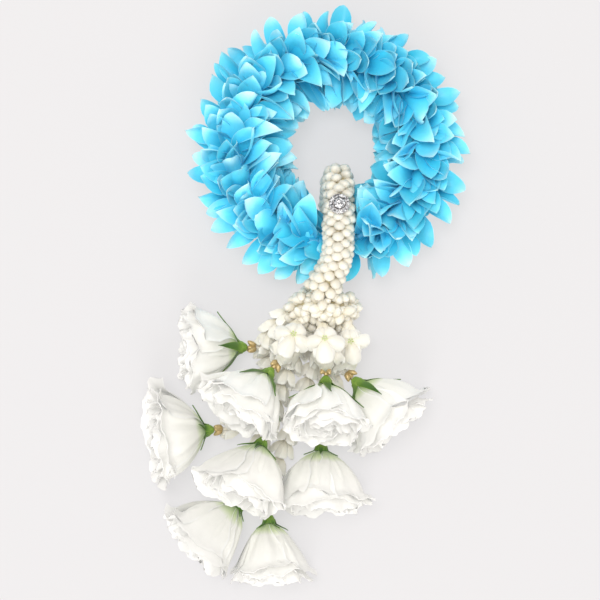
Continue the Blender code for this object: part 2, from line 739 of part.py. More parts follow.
def strand(name, bloom, collar_tree):
    """A strand, started as near the dome of buds as it goes without crossing it."""
    inner = np.array(bloom.route[0])
    away = unit(np.array(bloom.route[1]) - inner)
    for step in range(START_TRIES):
        points, faces = strand_surface(bloom, inner + away * step * GAP)
        if not collar_tree.overlap(surface_tree(points, faces)):
            break
    points, faces = strand_surface(bloom, inner + away * (step + 1) * GAP)
    return new_object(name, points, faces, "crown_flower")


def bloom_frame(bloom):
    """Axis, side and top of a bloom, with its roll taken in."""
    axis = unit(np.array(bloom.mouth) - np.array(bloom.root))
    side = unit(np.cross(axis, (0, 0, 1)))
    top = np.cross(side, axis)
    turn = math.radians(bloom.roll)
    return axis, math.cos(turn) * side + math.sin(turn) * top, math.cos(turn) * top - math.sin(turn) * side


def on_bloom(bloom, along, angle, reach):
    """A point at a distance along the bloom's axis from its root, and out from the axis."""
    axis, side, top = bloom_frame(bloom)
    return np.array(bloom.root) + axis * along + (math.cos(angle) * side + math.sin(angle) * top) * reach


def gold_buds(name, bloom):
    """Small golden buds tied round the strand, just behind the calyx."""
    lobes = np.array([1.0, GOLD_NOTCH] * GOLD_COUNT)
    rings = []
    for along, share in GOLD_PROFILE:
        depth = -GAP - GOLD_LENGTH * (1 - along)
        notches = lobes if 0 < along < 1 else np.full(2 * GOLD_COUNT, GOLD_END)
        rings.append([on_bloom(bloom, depth, math.pi * j / GOLD_COUNT, GOLD_RADIUS * share * lobe)
                      for j, lobe in enumerate(notches)])
    return new_object(name, *loft(rings), "gold_bud")


def funnel_radius(bloom, share):
    """Radius of the bloom's outer wall along its axis: a round cup that straightens to the mouth."""
    base = CUP_RADIUS * FUNNEL_BASE
    return base + (bloom.radius - base) * (1 - (1 - min(share, 1.0)) ** 2) ** FUNNEL_POWER


def bloom_length(bloom):
    """Length of the petals, from the top of the calyx cup to the mouth."""
    return float(np.linalg.norm(np.array(bloom.mouth) - np.array(bloom.root))) - CUP_LENGTH - GAP


def funnel_at(bloom, along):
    """The same at a distance from the calyx root."""
    return funnel_radius(bloom, (along - CUP_LENGTH - GAP) / bloom_length(bloom))


def petal_ring_points(bloom, angle, half_angle, size, share, length_share, columns, rng):
    """A row across one broad petal: its points from edge to edge, and their outward directions.
    One edge lies inside its neighbour and the other outside. The far row is ruffled."""
    axis, _, _ = bloom_frame(bloom)
    length = bloom_length(bloom)
    points, outward = [], []
    for j in range(columns):
        u = 2 * j / (columns - 1) - 1
        turn = angle + u * half_angle
        ruffle = 0.0
        if share == 1.0:
            ruffle = rng.uniform(-RUFFLE_STRAY, RUFFLE_STRAY) + (RUFFLE_OUT if j % 2 else RUFFLE_IN)
        reach = funnel_radius(bloom, share) * size + u * (LAP_FOOT + LAP_MOUTH * share) + ruffle
        depth = CUP_LENGTH + GAP + length * length_share * share * (1 - RIM_FALL * u * u * share**2)
        points.append(on_bloom(bloom, depth + ruffle, turn, reach))
        radial = on_bloom(bloom, depth, turn, 1.0) - on_bloom(bloom, depth, turn, 0.0)
        outward.append(unit(radial - PETAL_TILT * axis))
    return points, outward


def petal_rings(bloom, angle, kind, rng):
    """Rings of points round a broad petal, outer face first, and its sharp far edge."""
    half_angle, size, length_share, columns, shares = kind
    rows = []
    for share, spread in shares:
        points, outward = petal_ring_points(bloom, angle, half_angle * spread, size, share,
                                            length_share, columns, rng)
        skin = [0.0] + [PETAL_SKIN] * (columns - 2) + [0.0]
        outer = [p + n * t for p, n, t in zip(points, outward, skin)]
        inner = [p - n * t for p, n, t in zip(points, outward, skin)]
        rows.append(outer + inner[-2:0:-1])
    edge, _ = petal_ring_points(bloom, angle, half_angle, size, 1.0, length_share, columns, rng)
    return rows, edge


def bloom_shape(number, bloom):
    """A bloom as one surface: a receptacle with five outer petals, five inner petals that stand
    between them, and a rolled heart, all grown from rings of points on its top."""
    rng = random.Random(SEED * 100 + number)
    shape = Shape()
    start = CUP_LENGTH + GAP
    step = 2 * math.pi / PETALS_ROUND
    turns = [step * (k - 0.5 + c / 4) for k in range(PETALS_ROUND) for c in range(4)]
    count = len(turns)

    def seat(height, reach, turn):
        return on_bloom(bloom, start + height, turn, reach)

    bottom = shape.add([seat(*SEAT_BOTTOM, t) for t in turns])
    height, reach = SEAT_OUTER
    outer = shape.add([seat(height, reach if n % 4 else SEAT_NOTCH, t) for n, t in enumerate(turns)])
    inner = [here if n % 4 == 0 else None for n, here in enumerate(outer)]
    for n, t in enumerate(turns):
        if inner[n] is None:
            inner[n] = shape.add([seat(*SEAT_INNER, t)])[0]
    shape.faces.append(tuple(bottom))
    shape.bridge(bottom, outer)
    for k in range(PETALS_ROUND):
        ends = [4 * k + c for c in range(4)] + [(4 * k + 4) % count]
        base = [outer[e] for e in ends] + [inner[e] for e in ends[3:0:-1]]
        rows, edge = petal_rings(bloom, step * k, OUTER_PETALS, rng)
        shape.blade(base, rows, edge)
    heart = list(inner)
    for k in range(PETALS_ROUND):
        left, middle, right = inner[4 * k - 1], inner[4 * k], inner[4 * k + 1]
        heart[4 * k] = shape.add([seat(*SEAT_HEART, step * (k - 0.5))])[0]
        rows, edge = petal_rings(bloom, step * (k - 0.5), INNER_PETALS, rng)
        shape.blade([left, middle, right, heart[4 * k]], rows, edge)
    length = bloom_length(bloom)
    ring = heart
    for share, reach in HEART_RINGS:
        following = shape.add([seat(length * share, reach * (1.0 if n % 4 else HEART_FLUTE), t)
                               for n, t in enumerate(turns)])
        shape.bridge(ring, following)
        ring = following
    shape.fan(ring, shape.add([seat(length * HEART_TIP, 0.0, 0.0)])[0])
    return shape


def calyx_shape(bloom):
    """The green cup and its five narrow sepals, which lie along the outside of the petals."""
    shape = Shape()
    axis, _, _ = bloom_frame(bloom)
    sides = 2 * PETALS_ROUND
    turns = [math.pi * (j - 0.5) / PETALS_ROUND for j in range(sides)]
    rings = [shape.add([on_bloom(bloom, along, t, reach) for t in turns]) for along, reach in CUP_ROWS]
    shape.faces.append(tuple(rings[0]))
    shape.bridge(rings[0], rings[1])
    for j in range(sides):
        k = (j + 1) % sides
        base = [rings[1][j], rings[1][k], rings[2][k], rings[2][j]]
        if j % 2:
            shape.faces += [(base[0], base[1], base[2]), (base[0], base[2], base[3])]
            continue
        turn = math.pi * j / PETALS_ROUND
        out = unit(on_bloom(bloom, 0.0, turn, 1.0) - on_bloom(bloom, 0.0, turn, 0.0))
        across = np.cross(out, axis)
        normal = unit(out - SEPAL_TILT * axis)
        middle = on_bloom(bloom, SEPAL_BEND, turn, funnel_at(bloom, SEPAL_BEND) + BEND_ROOM)
        low, high = middle - normal * SEPAL_UNDER, middle + normal * SEPAL_OVER
        half = across * SEPAL_HALF_WIDTH
        tip = on_bloom(bloom, SEPAL_REACH, turn, funnel_at(bloom, SEPAL_REACH) + TIP_ROOM)
        shape.blade(base, [[high - half, high + half, low + half, low - half]], [tip])
    shape.faces.append(tuple(rings[2]))
    return shape


def presses_for(blooms):
    """For each bloom, the table and the planes between it and the blooms it meets, halfway where
    the two funnels press hardest."""
    shares = np.linspace(0.1, 1.05, PRESS_SAMPLES)
    spheres = []
    for bloom in blooms:
        start, length = CUP_LENGTH + GAP, bloom_length(bloom)
        spheres.append([(on_bloom(bloom, start + length * s, 0.0, 0.0),
                         funnel_radius(bloom, s) + PRESS_ROOM) for s in shares])
    presses = [[] for _ in blooms]
    for a in range(len(blooms)):
        for b in range(a + 1, len(blooms)):
            deepest, found = PRESS_DEPTH, None
            for centre_a, radius_a in spheres[a]:
                for centre_b, radius_b in spheres[b]:
                    apart = np.linalg.norm(centre_b - centre_a)
                    depth = radius_a + radius_b - apart
                    if depth > deepest:
                        normal = (centre_b - centre_a) / apart
                        deepest = depth
                        found = (centre_a + normal * apart * radius_a / (radius_a + radius_b), normal)
            if found:
                presses[a].append((found[0], found[1], -GAP))
                presses[b].append((found[0], -found[1], -GAP))
    return [(one + [(np.zeros(3), DOWN, 0.0)]) * PRESS_TURNS for one in presses]


def flowers():
    """Each bloom with its calyx, pressed flat where it lies on the table or against another."""
    made = []
    for number, (bloom, presses) in enumerate(zip(BLOOMS, presses_for(BLOOMS))):
        petals = bloom_shape(number, bloom).pressed(presses)
        made.append(new_object(f"bloom_{number + 1}", *petals, "white_bloom"))
        green = calyx_shape(bloom).pressed(presses)
        made.append(new_object(f"calyx_{number + 1}", *green, "green_calyx"))
    return made


def centre_on_table(objects):
    """Parents everything to one empty, placed so that the origin is the middle of the underside."""
    points = np.array([v.co for one in objects for v in one.data.vertices])
    low, high = points.min(axis=0), points.max(axis=0)
    garland = bpy.data.objects.new("garland", None)
    bpy.context.scene.collection.objects.link(garland)
    for one in objects:
        one.parent = garland
    garland.location = (-(low[0] + high[0]) / 2, -(low[1] + high[1]) / 2, -low[2])


def main():
    """Makes every piece and moves them all under one empty."""
    for old in list(bpy.data.objects):
        bpy.data.objects.remove(old)
    route = strap_route()
    pieces = strap(route)
    pieces += brooch(pieces[0], route)
    dome = collar()
    dome_tree = tree_of(dome)
    for number, bloom in enumerate(BLOOMS):
        pieces.append(strand(f"strand_{number + 1}", bloom, dome_tree))
        pieces.append(gold_buds(f"gold_buds_{number + 1}", bloom))
    pieces += [hoop(), dome, *petal_ring(route), *flowers()]
    centre_on_table(pieces)


main()
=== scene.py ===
"""Looks of a hand garland laid flat: a ring of dyed blue petals, a rope and a collar of jasmine
buds, strands of crown flowers, golden buds, and white blooms in their green calyxes.

Metres, +Z up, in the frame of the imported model. Shapes are worked out round the ring's centre and
moved there by the layout, which reads the centre from the cord hoop. In the formulas t runs along
a shape from 0 to 1, and v runs across it from -1 to 1.
"""

from __future__ import annotations

import logging
import math
import random
from dataclasses import dataclass, field
from enum import Enum

import bpy
import numpy as np
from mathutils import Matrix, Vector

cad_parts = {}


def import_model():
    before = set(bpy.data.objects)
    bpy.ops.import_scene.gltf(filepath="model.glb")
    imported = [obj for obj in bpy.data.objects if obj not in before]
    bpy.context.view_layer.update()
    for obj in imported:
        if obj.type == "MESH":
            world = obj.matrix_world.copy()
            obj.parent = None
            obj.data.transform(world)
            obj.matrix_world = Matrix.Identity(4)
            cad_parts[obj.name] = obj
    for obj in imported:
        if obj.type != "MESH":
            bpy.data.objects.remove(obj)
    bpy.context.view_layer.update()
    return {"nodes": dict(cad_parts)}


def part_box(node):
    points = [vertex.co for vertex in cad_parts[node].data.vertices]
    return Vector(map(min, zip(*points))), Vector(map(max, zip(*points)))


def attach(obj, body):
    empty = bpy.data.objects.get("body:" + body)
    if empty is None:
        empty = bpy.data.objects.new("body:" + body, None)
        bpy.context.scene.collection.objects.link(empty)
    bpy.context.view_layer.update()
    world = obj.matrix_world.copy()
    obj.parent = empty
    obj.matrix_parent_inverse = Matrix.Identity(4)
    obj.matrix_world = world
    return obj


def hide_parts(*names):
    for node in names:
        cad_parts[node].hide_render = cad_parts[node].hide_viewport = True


Array = np.ndarray
Point = tuple[float, float, float]
LOG = logging.getLogger("garland")
TURN = 2 * math.pi
EAST, NORTH, UP = np.eye(3)
# Free space between pressed neighbours, as in the solids
GAP = 0.0003


def linear(code: str) -> tuple[float, float, float, float]:
    """Turns an sRGB hex colour into linear values.

    Args:
        code: Six hex digits after a number sign.

    Returns:
        Red, green, blue and an alpha of one.
    """
    parts = [int(code[k:k + 2], 16) / 255 for k in (1, 3, 5)]
    red, green, blue = (c / 12.92 if c <= 0.04045 else ((c + 0.055) / 1.055) ** 2.4 for c in parts)
    return red, green, blue, 1.0


def unit(vectors: Array) -> Array:
    """Vectors along the last axis, each at length one."""
    return vectors / np.maximum(np.linalg.norm(vectors, axis=-1, keepdims=True), 1e-12)


def ease(values: Array) -> Array:
    """Smooth step from 0 to 1 of values held between 0 and 1."""
    held = np.clip(values, 0.0, 1.0)
    return held * held * (3 - 2 * held)


def even_angles(count: int) -> Array:
    """Even angles round a full turn."""
    return np.arange(count) * TURN / count


def swing(angle: Array, side: Array, top: Array) -> Array:
    """Directions that swing by an angle from side to top: cosine of the one, sine of the other."""
    return np.cos(angle)[..., None] * side + np.sin(angle)[..., None] * top


def grid(rows: int, columns: int) -> tuple[Array, Array]:
    """Values t along and v across, in shapes that spread over shells by rows by columns."""
    return np.linspace(0, 1, rows)[None, :, None], np.linspace(-1, 1, columns)[None, None, :]


def tube(middles: Array, sides: Array, tops: Array, radius: float, corners: int) -> Array:
    """One closed tube of even radius: a ring in the side and top plane of each middle point.

    Args:
        middles: Points of the middle line.
        sides: Side direction at each.
        tops: Top direction at each.
        radius: Radius of the tube.
        corners: Points round it.

    Returns:
        Rings, as one shell.
    """
    around = swing(even_angles(corners)[None], sides[:, None], tops[:, None])
    return (middles[:, None] + around * radius)[None]


@dataclass(frozen=True)
class Press:
    """A plane that flattens soft things: the table, or the plane between two blooms."""

    origin: Array
    normal: Array
    limit: float = 0.0
    share: float = 0.30

    def apply(self, points: Array) -> Array:
        """Squeezes what lies near or past the plane into a thin layer that ends at the limit. Depth
        past the layer's start is kept only by the share, so points stay in their order.

        Args:
            points: Points in the last axis.

        Returns:
            The pressed points.
        """
        depth = (points - self.origin) @ self.normal
        deepest = float(depth.max())
        if deepest <= self.limit:
            return points
        start = (self.limit - self.share * deepest) / (1 - self.share)
        past = np.maximum(depth - start, 0.0) * (1 - self.share)
        return points - past[..., None] * self.normal


TABLE = Press(np.zeros(3), -UP)


@dataclass(frozen=True)
class Route:
    """A smooth path with a frame at each point, carried along without twisting."""

    points: Array
    tangents: Array
    sides: Array
    tops: Array
    spacing: float

    @staticmethod
    def through(knots: list[Point] | Array, spacing: float, first_side: Point = (1.0, 0.0, 0.0)) -> Route:
        """Makes a smooth curve through the knots, resampled at even steps. Between two knots it is
        a cubic in the share of the way, and its slope at a knot is half the step from the knot
        before to the one after.

        Args:
            knots: Points that the path runs through.
            spacing: Distance between the path's own points.
            first_side: Direction that the first frame's side leans to.

        Returns:
            The path.
        """
        given = np.asarray(knots, float)
        padded = np.vstack([2 * given[0] - given[1], given, 2 * given[-1] - given[-2]])
        steps = np.linspace(0, 1, 24, endpoint=False)[None, :, None]
        p0, p1, p2, p3 = (padded[k:len(padded) - 3 + k, None] for k in range(4))
        dense = 0.5 * (2 * p1 + (p2 - p0) * steps + (2 * p0 - 5 * p1 + 4 * p2 - p3) * steps**2
                       + (3 * p1 - p0 - 3 * p2 + p3) * steps**3)
        dense = np.vstack([dense.reshape(-1, 3), given[-1:]])
        length = np.concatenate([[0], np.cumsum(np.linalg.norm(np.diff(dense, axis=0), axis=1))])
        count = max(2, int(round(length[-1] / spacing)) + 1)
        wanted = np.linspace(0, length[-1], count)
        points = np.stack([np.interp(wanted, length, dense[:, k]) for k in range(3)], axis=1)
        tangents = unit(np.gradient(points, axis=0))
        side = np.asarray(first_side, float)
        sides = []
        for tangent in tangents:
            side = unit(side - tangent * (side @ tangent))
            sides.append(side)
        return Route(points, tangents, np.array(sides), np.cross(tangents, np.array(sides)),
                     float(length[-1]) / (count - 1))

    @property
    def length(self) -> float:
        """Length of the path."""
        return self.spacing * (len(self.points) - 1)

    def _at(self, values: Array, along: Array) -> Array:
        """Values of the path's points, interpolated at distances along it."""
        steps = np.arange(len(self.points)) * self.spacing
        return np.stack([np.interp(along, steps, values[:, k]) for k in range(3)], axis=-1)

    def place(self, along: Array, side: Array | float = 0.0, top: Array | float = 0.0) -> Array:
        """Points at a distance along the path and off it to its side and top.

        Args:
            along: Distance along the path.
            side: Offset along the frame's side.
            top: Offset along the frame's top.

        Returns:
            Points, with the three coordinates in the last axis.
        """
        return (self._at(self.points, along) + self._at(self.sides, along) * np.asarray(side)[..., None]
                + self._at(self.tops, along) * np.asarray(top)[..., None])

    def directions(self, along: Array) -> tuple[Array, Array, Array]:
        """Tangent, side and top at distances along the path."""
        return tuple(unit(self._at(values, along)) for values in (self.tangents, self.sides, self.tops))

    def core(self, start: float, end: float, rows: int, radius: float, corners: int) -> Array:
        """A closed tube along a part of the path.

        Args:
            start: Where it starts.
            end: Where it ends.
            rows: Rings along it.
            radius: Radius of the tube.
            corners: Points round it.

        Returns:
            Rings, as one shell.
        """
        steps = np.linspace(start, end, rows)
        _, sides, tops = self.directions(steps)
        return tube(self.place(steps), sides, tops, radius, corners)


class Shells:
    """Closed shells of one piece. A shell is a ring of points carried along rows, and many alike
    are worked out together as an array of shells, rows, points round and coordinates."""

    sharp_angle = math.radians(55)

    def __init__(self) -> None:
        """Starts with no shells."""
        self.groups: list[tuple[Array, Array, Array]] = []

    def add(self, rings: Array, maps: Array, tones: Array | float) -> None:
        """Adds shells, turned so that they face out. A shell's volume is summed over its quads as
        a dot (b cross c), and its rings run the other way where that is negative.

        Args:
            rings: Points, as shells by rows by points round by 3.
            maps: Across and along values from 0 to 1 of each point, for the finish.
            tones: One value from 0 to 1 for each shell, or for all, for its shade.
        """
        maps = np.broadcast_to(maps, rings.shape[:3] + (2,)).copy()
        rings = rings.copy()
        local = rings - rings.mean(axis=(1, 2), keepdims=True)
        turned = np.roll(local, -1, axis=2)
        first = np.cross(turned[:, :-1], turned[:, 1:]) + np.cross(turned[:, 1:], local[:, 1:])
        wrong = (local[:, :-1] * first).sum(axis=(1, 2, 3)) < 0
        rings[wrong] = rings[wrong][:, :, ::-1]
        maps[wrong] = maps[wrong][:, :, ::-1]
        self.groups.append((rings, maps, np.broadcast_to(tones, rings.shape[:1])))

    def add_round(self, rings: Array, tones: Array | float, reach: float = 1.0) -> None:
        """Adds round shells, whose values run round each ring and along the rows.

        Args:
            rings: Points, as shells by rows by points round by 3.
            tones: One value from 0 to 1 for each shell, or for all.
            reach: Along value of the last row.
        """
        rows, corners = rings.shape[1:3]
        maps = np.stack(np.meshgrid(np.arange(corners) / corners, np.linspace(0, 1, rows)), axis=-1)
        self.add(rings, maps[None] * [1.0, reach], tones)

    def add_sheets(self, middle: Array, thick: float, tones: Array, thin: Array | float = 1.0) -> None:
        """Adds thin sheets. Each one's normal is across cross along, and its faces lie half a
        thickness to either side: the root of 1 - v to the fourth, so they meet in both edges.

        Args:
            middle: Middle surfaces, as sheets by rows by points across by 3.
            thick: Greatest thickness.
            tones: One value from 0 to 1 for each sheet.
            thin: Share of the thickness at each row.
        """
        rows, columns = middle.shape[1:3]
        half = thick / 2 * np.sqrt(np.maximum(1 - grid(rows, columns)[1] ** 4, 0.0)) * thin
        offset = unit(np.cross(np.gradient(middle, axis=2), np.gradient(middle, axis=1))) * half[..., None]
        across = np.linspace(0, 1, columns)
        around = np.concatenate([across, across[-2:0:-1]])
        maps = np.stack(np.meshgrid(around, np.linspace(0, 1, rows)), axis=-1)
        lower = (middle - offset)[:, :, -2:0:-1]
        self.add(np.concatenate([middle + offset, lower], axis=2), maps[None], tones)

    def points(self) -> Array:
        """All points, one shell after another."""
        return np.concatenate([rings.reshape(-1, 3) for rings, _, _ in self.groups])

    def press(self, presses: list[Press]) -> None:
        """Presses all shells together.

        Args:
            presses: Planes, used in turn.
        """
        sizes = [rings.shape for rings, _, _ in self.groups]
        points = self.points()
        for one in presses:
            points = one.apply(points)
        ends = np.cumsum([int(np.prod(size[:3])) for size in sizes])
        self.groups = [(part.reshape(size), maps, tones) for part, size, (_, maps, tones)
                       in zip(np.split(points, ends[:-1]), sizes, self.groups)]

    def object(self, name: str, material: bpy.types.Material, shift: Array) -> bpy.types.Object:
        """Makes the mesh object. Quads join each row to the next, and a flat face closes each end.

        Args:
            name: Name of the piece.
            material: Its finish.
            shift: Place of the ring's centre, added to every point.

        Returns:
            The object, at the origin.
        """
        faces: list[list[int]] = []
        first = 0
        for rings, _, _ in self.groups:
            index = first + np.arange(rings[..., 0].size).reshape(rings.shape[:3])
            turned = np.roll(index, -1, axis=2)
            quads = np.stack([index[:, :-1], turned[:, :-1], turned[:, 1:], index[:, 1:]], axis=-1)
            faces += quads.reshape(-1, 4).tolist() + index[:, 0, ::-1].tolist() + index[:, -1].tolist()
            first += index.size
        maps = np.concatenate([maps.reshape(-1, 2) for _, maps, _ in self.groups])
        tones = np.concatenate([np.repeat(tone, rings.shape[1] * rings.shape[2])
                                for rings, _, tone in self.groups])
        mesh = bpy.data.meshes.new(name)
        mesh.from_pydata((self.points() + shift).tolist(), [], faces)
        corners = np.empty(len(mesh.loops), int)
        mesh.loops.foreach_get("vertex_index", corners)
        mesh.uv_layers.new(name="surface").data.foreach_set("uv", maps[corners].ravel())
        mesh.attributes.new("tone", "FLOAT", "POINT").data.foreach_set("value", tones)
        mesh.shade_smooth()
        mesh.set_sharp_from_angle(angle=self.sharp_angle)
        mesh.materials.append(material)
        made = bpy.data.objects.new(name, mesh)
        bpy.context.scene.collection.objects.link(made)
        LOG.info("%s: %d faces", name, len(mesh.polygons))
        return made


@dataclass(frozen=True)
class Egg:
    """The plump shape of a flower bud: an egg with a blunt foot and a softly pointed tip. An oval
    one is wider in one direction."""

    rows: int = 7
    sides: int = 8
    point: float = 0.12
    oval: float = 1.0

    def rings(self, feet: Array, axes: Array, lengths: Array, widths: Array,
              broad: Array | None = None) -> Array:
        """Places buds. The radius along a bud is that of an ellipsoid, the root of 4 t (1 - t), and
        falls towards the tip by the point's share.

        Args:
            feet: Foot of each bud.
            axes: Direction from foot to tip.
            lengths: Length of each.
            widths: Greatest width of each, across its broad direction.
            broad: Direction in which each is wider by the oval's share.

        Returns:
            Rings of all the buds.
        """
        t = (1 - np.cos(np.linspace(0.10, math.pi - 0.08, self.rows))) / 2
        radius = np.sqrt(4 * t * (1 - t)) * (1 - self.point * (2 * t - 1))
        axes = unit(axes)
        if broad is None:
            broad = np.cross(axes, np.where(np.abs(axes[:, 2:]) < 0.9, UP, EAST))
        side = unit(broad - axes * (broad * axes).sum(axis=1, keepdims=True))
        top = np.cross(axes, side)
        around = swing(even_angles(self.sides)[None], (side * self.oval)[:, None], top[:, None])
        reach = (widths[:, None] / 2 * radius)[..., None, None]
        middle = feet[:, None] + axes[:, None] * (lengths[:, None] * t)[..., None]
        return middle[:, :, None] + around[:, None] * reach


def feed(tree: bpy.types.NodeTree, node: bpy.types.Node, links: dict) -> None:
    """Feeds a node.

    Args:
        tree: Node tree of the material.
        node: The node.
        links: What feeds an input, by its name or number: a socket, or a node's first output.
    """
    for key, source in links.items():
        socket = source.outputs[0] if isinstance(source, bpy.types.Node) else source
        tree.links.new(socket, node.inputs[key])


def add_node(tree: bpy.types.NodeTree, kind: str, settings: dict | None = None,
             links: dict | None = None, stops: tuple = ()) -> bpy.types.Node:
    """Adds one node with its settings, links and colour stops.

    Args:
        tree: Node tree of the material.
        kind: Blender's name for the shader node.
        settings: Values by the name of a property, or the name or number of an input.
        links: What feeds each input.
        stops: Position and hex colour of each stop of a colour ramp.

    Returns:
        The node.
    """
    node = tree.nodes.new("ShaderNode" + kind)
    for key, value in (settings or {}).items():
        if isinstance(key, str) and key in node.bl_rna.properties:
            setattr(node, key, value)
        else:
            node.inputs[key].default_value = value
    feed(tree, node, links or {})
    for number, (position, code) in enumerate(stops):
        ramp = node.color_ramp
        stop = ramp.elements[number] if number < 2 else ramp.elements.new(position)
        stop.position = position
        stop.color = linear(code)
    return node


def new_material(name: str, sockets: dict) -> tuple[bpy.types.Material, bpy.types.NodeTree, bpy.types.Node]:
    """Makes a material and sets what is the same all over it.

    Args:
        name: Name of the material.
        sockets: Values by the name of the shader's socket.

    Returns:
        The material, its node tree and its shader.
    """
    made = bpy.data.materials.new(name)
    made.use_nodes = True
    shader = made.node_tree.nodes["Principled BSDF"]
    for socket, value in sockets.items():
        shader.inputs[socket].default_value = value
    return made, made.node_tree, shader


class Coordinates(Enum):
    """What a pattern follows: the piece's own across and along values, or its place."""

    SURFACE = "UV"
    PLACE = "Object"


@dataclass(frozen=True)
class PlantSkin:
    """Skin of a petal, bud or leaf: a colour that runs from foot to tip, a shade of its own on each
    petal, paler or darker margins, and fine veins that only show as a soft unevenness. Veins are
    spaced in metres by place, and as a share of the width on the surface's own values. Through is
    a painted glow: a faint light of the skin's own that stands in for the light that comes through
    a thin petal from the pale table, and keeps shaded sides pale."""

    name: str
    along: tuple[tuple[float, str], ...]
    margin: str
    margin_share: float
    shade: tuple[float, float]
    vein_spacing: float
    vein_height: float
    roughness: float
    glow: float
    glow_colour: Point
    coordinates: Coordinates
    sheen: float = 0.0
    coat: float = 0.0
    fade: float = 0.0
    through: float = 0.0
    ior: float = 1.42
    glow_depth: float = 0.002
    blotches: float = 260.0

    def material(self) -> bpy.types.Material:
        """Builds the material. The tone shifts the colour's run by the fade and sets the shade, the
        margin starts at its share of the half width, and blotches about 4 mm wide vary the shade.

        Returns:
            The material.
        """
        # The emission is the painted glow: a faint cool white light of the skin's own that lifts its shade.
        made, tree, shader = new_material(self.name, {
            "Roughness": self.roughness, "IOR": self.ior, "Subsurface Weight": self.glow,
            "Subsurface Radius": self.glow_colour, "Subsurface Scale": self.glow_depth,
            "Sheen Weight": self.sheen, "Coat Weight": self.coat, "Coat Roughness": 0.3,
            "Emission Strength": self.through, "Emission Color": linear("#F6FAFF")})
        place = add_node(tree, "TexCoord")
        axes = add_node(tree, "SeparateXYZ", {}, {0: place.outputs["UV"]})
        tone = add_node(tree, "Attribute", {"attribute_name": "tone"}).outputs["Fac"]
        fade = self.fade / 2
        faded = add_node(tree, "MapRange", {"To Min": -fade, "To Max": fade}, {"Value": tone})
        at = add_node(tree, "Math", {"operation": "ADD"}, {0: axes.outputs["Y"], 1: faded})
        colour = add_node(tree, "ValToRGB", {}, {0: at}, self.along)
        edge = add_node(tree, "Math", {"operation": "SUBTRACT", 1: 0.5}, {0: axes.outputs["X"]})
        edge = add_node(tree, "Math", {"operation": "ABSOLUTE"}, {0: edge})
        edge = add_node(tree, "MapRange", {"From Min": 0.5 - self.margin_share / 2, "From Max": 0.5,
                                           "interpolation_type": "SMOOTHSTEP"}, {"Value": edge})
        rim = add_node(tree, "Mix", {"data_type": "RGBA", 7: linear(self.margin)}, {0: edge, 6: colour})
        dark, light = self.shade
        value = add_node(tree, "MapRange", {"To Min": dark, "To Max": light}, {"Value": tone})
        soft = add_node(tree, "TexNoise", {"Scale": self.blotches, "Detail": 3.0},
                        {0: place.outputs["Object"]})
        soft = add_node(tree, "MapRange", {"To Min": 0.95, "To Max": 1.03}, {"Value": soft})
        value = add_node(tree, "Math", {"operation": "MULTIPLY"}, {0: value, 1: soft})
        shaded = add_node(tree, "HueSaturation", {}, {"Color": rim.outputs[2], "Value": value})
        fine = 1 / self.vein_spacing
        scale = (fine, 1.6, 1.0) if self.coordinates is Coordinates.SURFACE else (fine, fine, fine)
        veins = add_node(tree, "Mapping", {"Scale": scale}, {"Vector": place.outputs[self.coordinates.value]})
        veins = add_node(tree, "TexNoise", {"Scale": 1.0, "Detail": 3.0, "Roughness": 0.55}, {0: veins})
        bump = add_node(tree, "Bump", {"Strength": 0.6, "Distance": self.vein_height}, {"Height": veins})
        feed(tree, shader, {"Base Color": shaded, "Normal": bump})
        return made


@dataclass(frozen=True)
class Plain:
    """A made finish, metal or cotton, with fine unevenness in its colour and gloss."""

    name: str
    light: str
    dark: str
    metallic: float
    roughness: float
    rough_spread: float
    grain: float
    grain_height: float

    def material(self) -> bpy.types.Material:
        """Builds the material from a noise of the grain's size in metres.

        Returns:
            The material.
        """
        made, tree, shader = new_material(self.name, {"Metallic": self.metallic})
        place = add_node(tree, "TexCoord")
        grain = add_node(tree, "TexNoise", {"Scale": 1 / self.grain, "Detail": 4.0},
                         {0: place.outputs["Object"]})
        colour = add_node(tree, "Mix", {"data_type": "RGBA", 6: linear(self.dark), 7: linear(self.light)},
                          {0: grain})
        rough = add_node(tree, "MapRange", {"To Min": self.roughness - self.rough_spread,
                                            "To Max": self.roughness + self.rough_spread}, {"Value": grain})
        bump = add_node(tree, "Bump", {"Strength": 0.5, "Distance": self.grain_height}, {"Height": grain})
        feed(tree, shader, {"Base Color": colour.outputs[2], "Roughness": rough, "Normal": bump})
        return made


@dataclass(frozen=True)
class CutCrystal:
    """A cut stone seen from outside: its facets carry painted reflections, each facet light or dark as a
    whole.
    """

    name: str
    flashes: tuple[str, ...]
    facet: float
    roughness: float
    ior: float

    def material(self) -> bpy.types.Material:
        """Builds the material from cells of a facet's size, each with one of the painted flashes in its base
        colour.

        Returns:
            The material.
        """
        made, tree, shader = new_material(self.name, {"Roughness": self.roughness, "IOR": self.ior})
        place = add_node(tree, "TexCoord")
        cells = add_node(tree, "TexVoronoi", {"Scale": 1 / self.facet}, {"Vector": place.outputs["Object"]})
        pick = add_node(tree, "SeparateColor", {}, {0: cells.outputs["Color"]})
        last = len(self.flashes) - 1
        colour = add_node(tree, "ValToRGB", {}, {0: pick},
                          tuple((k / last, code) for k, code in enumerate(self.flashes)))
        feed(tree, shader, {"Base Color": colour})
        return made


Finish = PlantSkin | Plain | CutCrystal

# Petals dyed sky blue, deep at the foot and pale at the tip: partly the dye, and partly painted
# shade at the packed feet and painted highlight on the tips. The thin margin is painted pale, a
# painted highlight for the light that its edge catches. Satin, with veins about 1 mm apart on a 15 mm petal
DYED_PETAL = PlantSkin(
    "dyed_petal", ((0.0, "#1FA9D4"), (0.35, "#46CEED"), (0.70, "#6EDDF6"), (1.0, "#BCF2FD")),
    margin="#C4F5FF", margin_share=0.025, shade=(0.94, 1.10), vein_spacing=0.07, vein_height=0.00012,
    roughness=0.40, glow=0.08, glow_colour=(0.3, 0.8, 1.0), coordinates=Coordinates.SURFACE, sheen=0.15,
    fade=0.36)
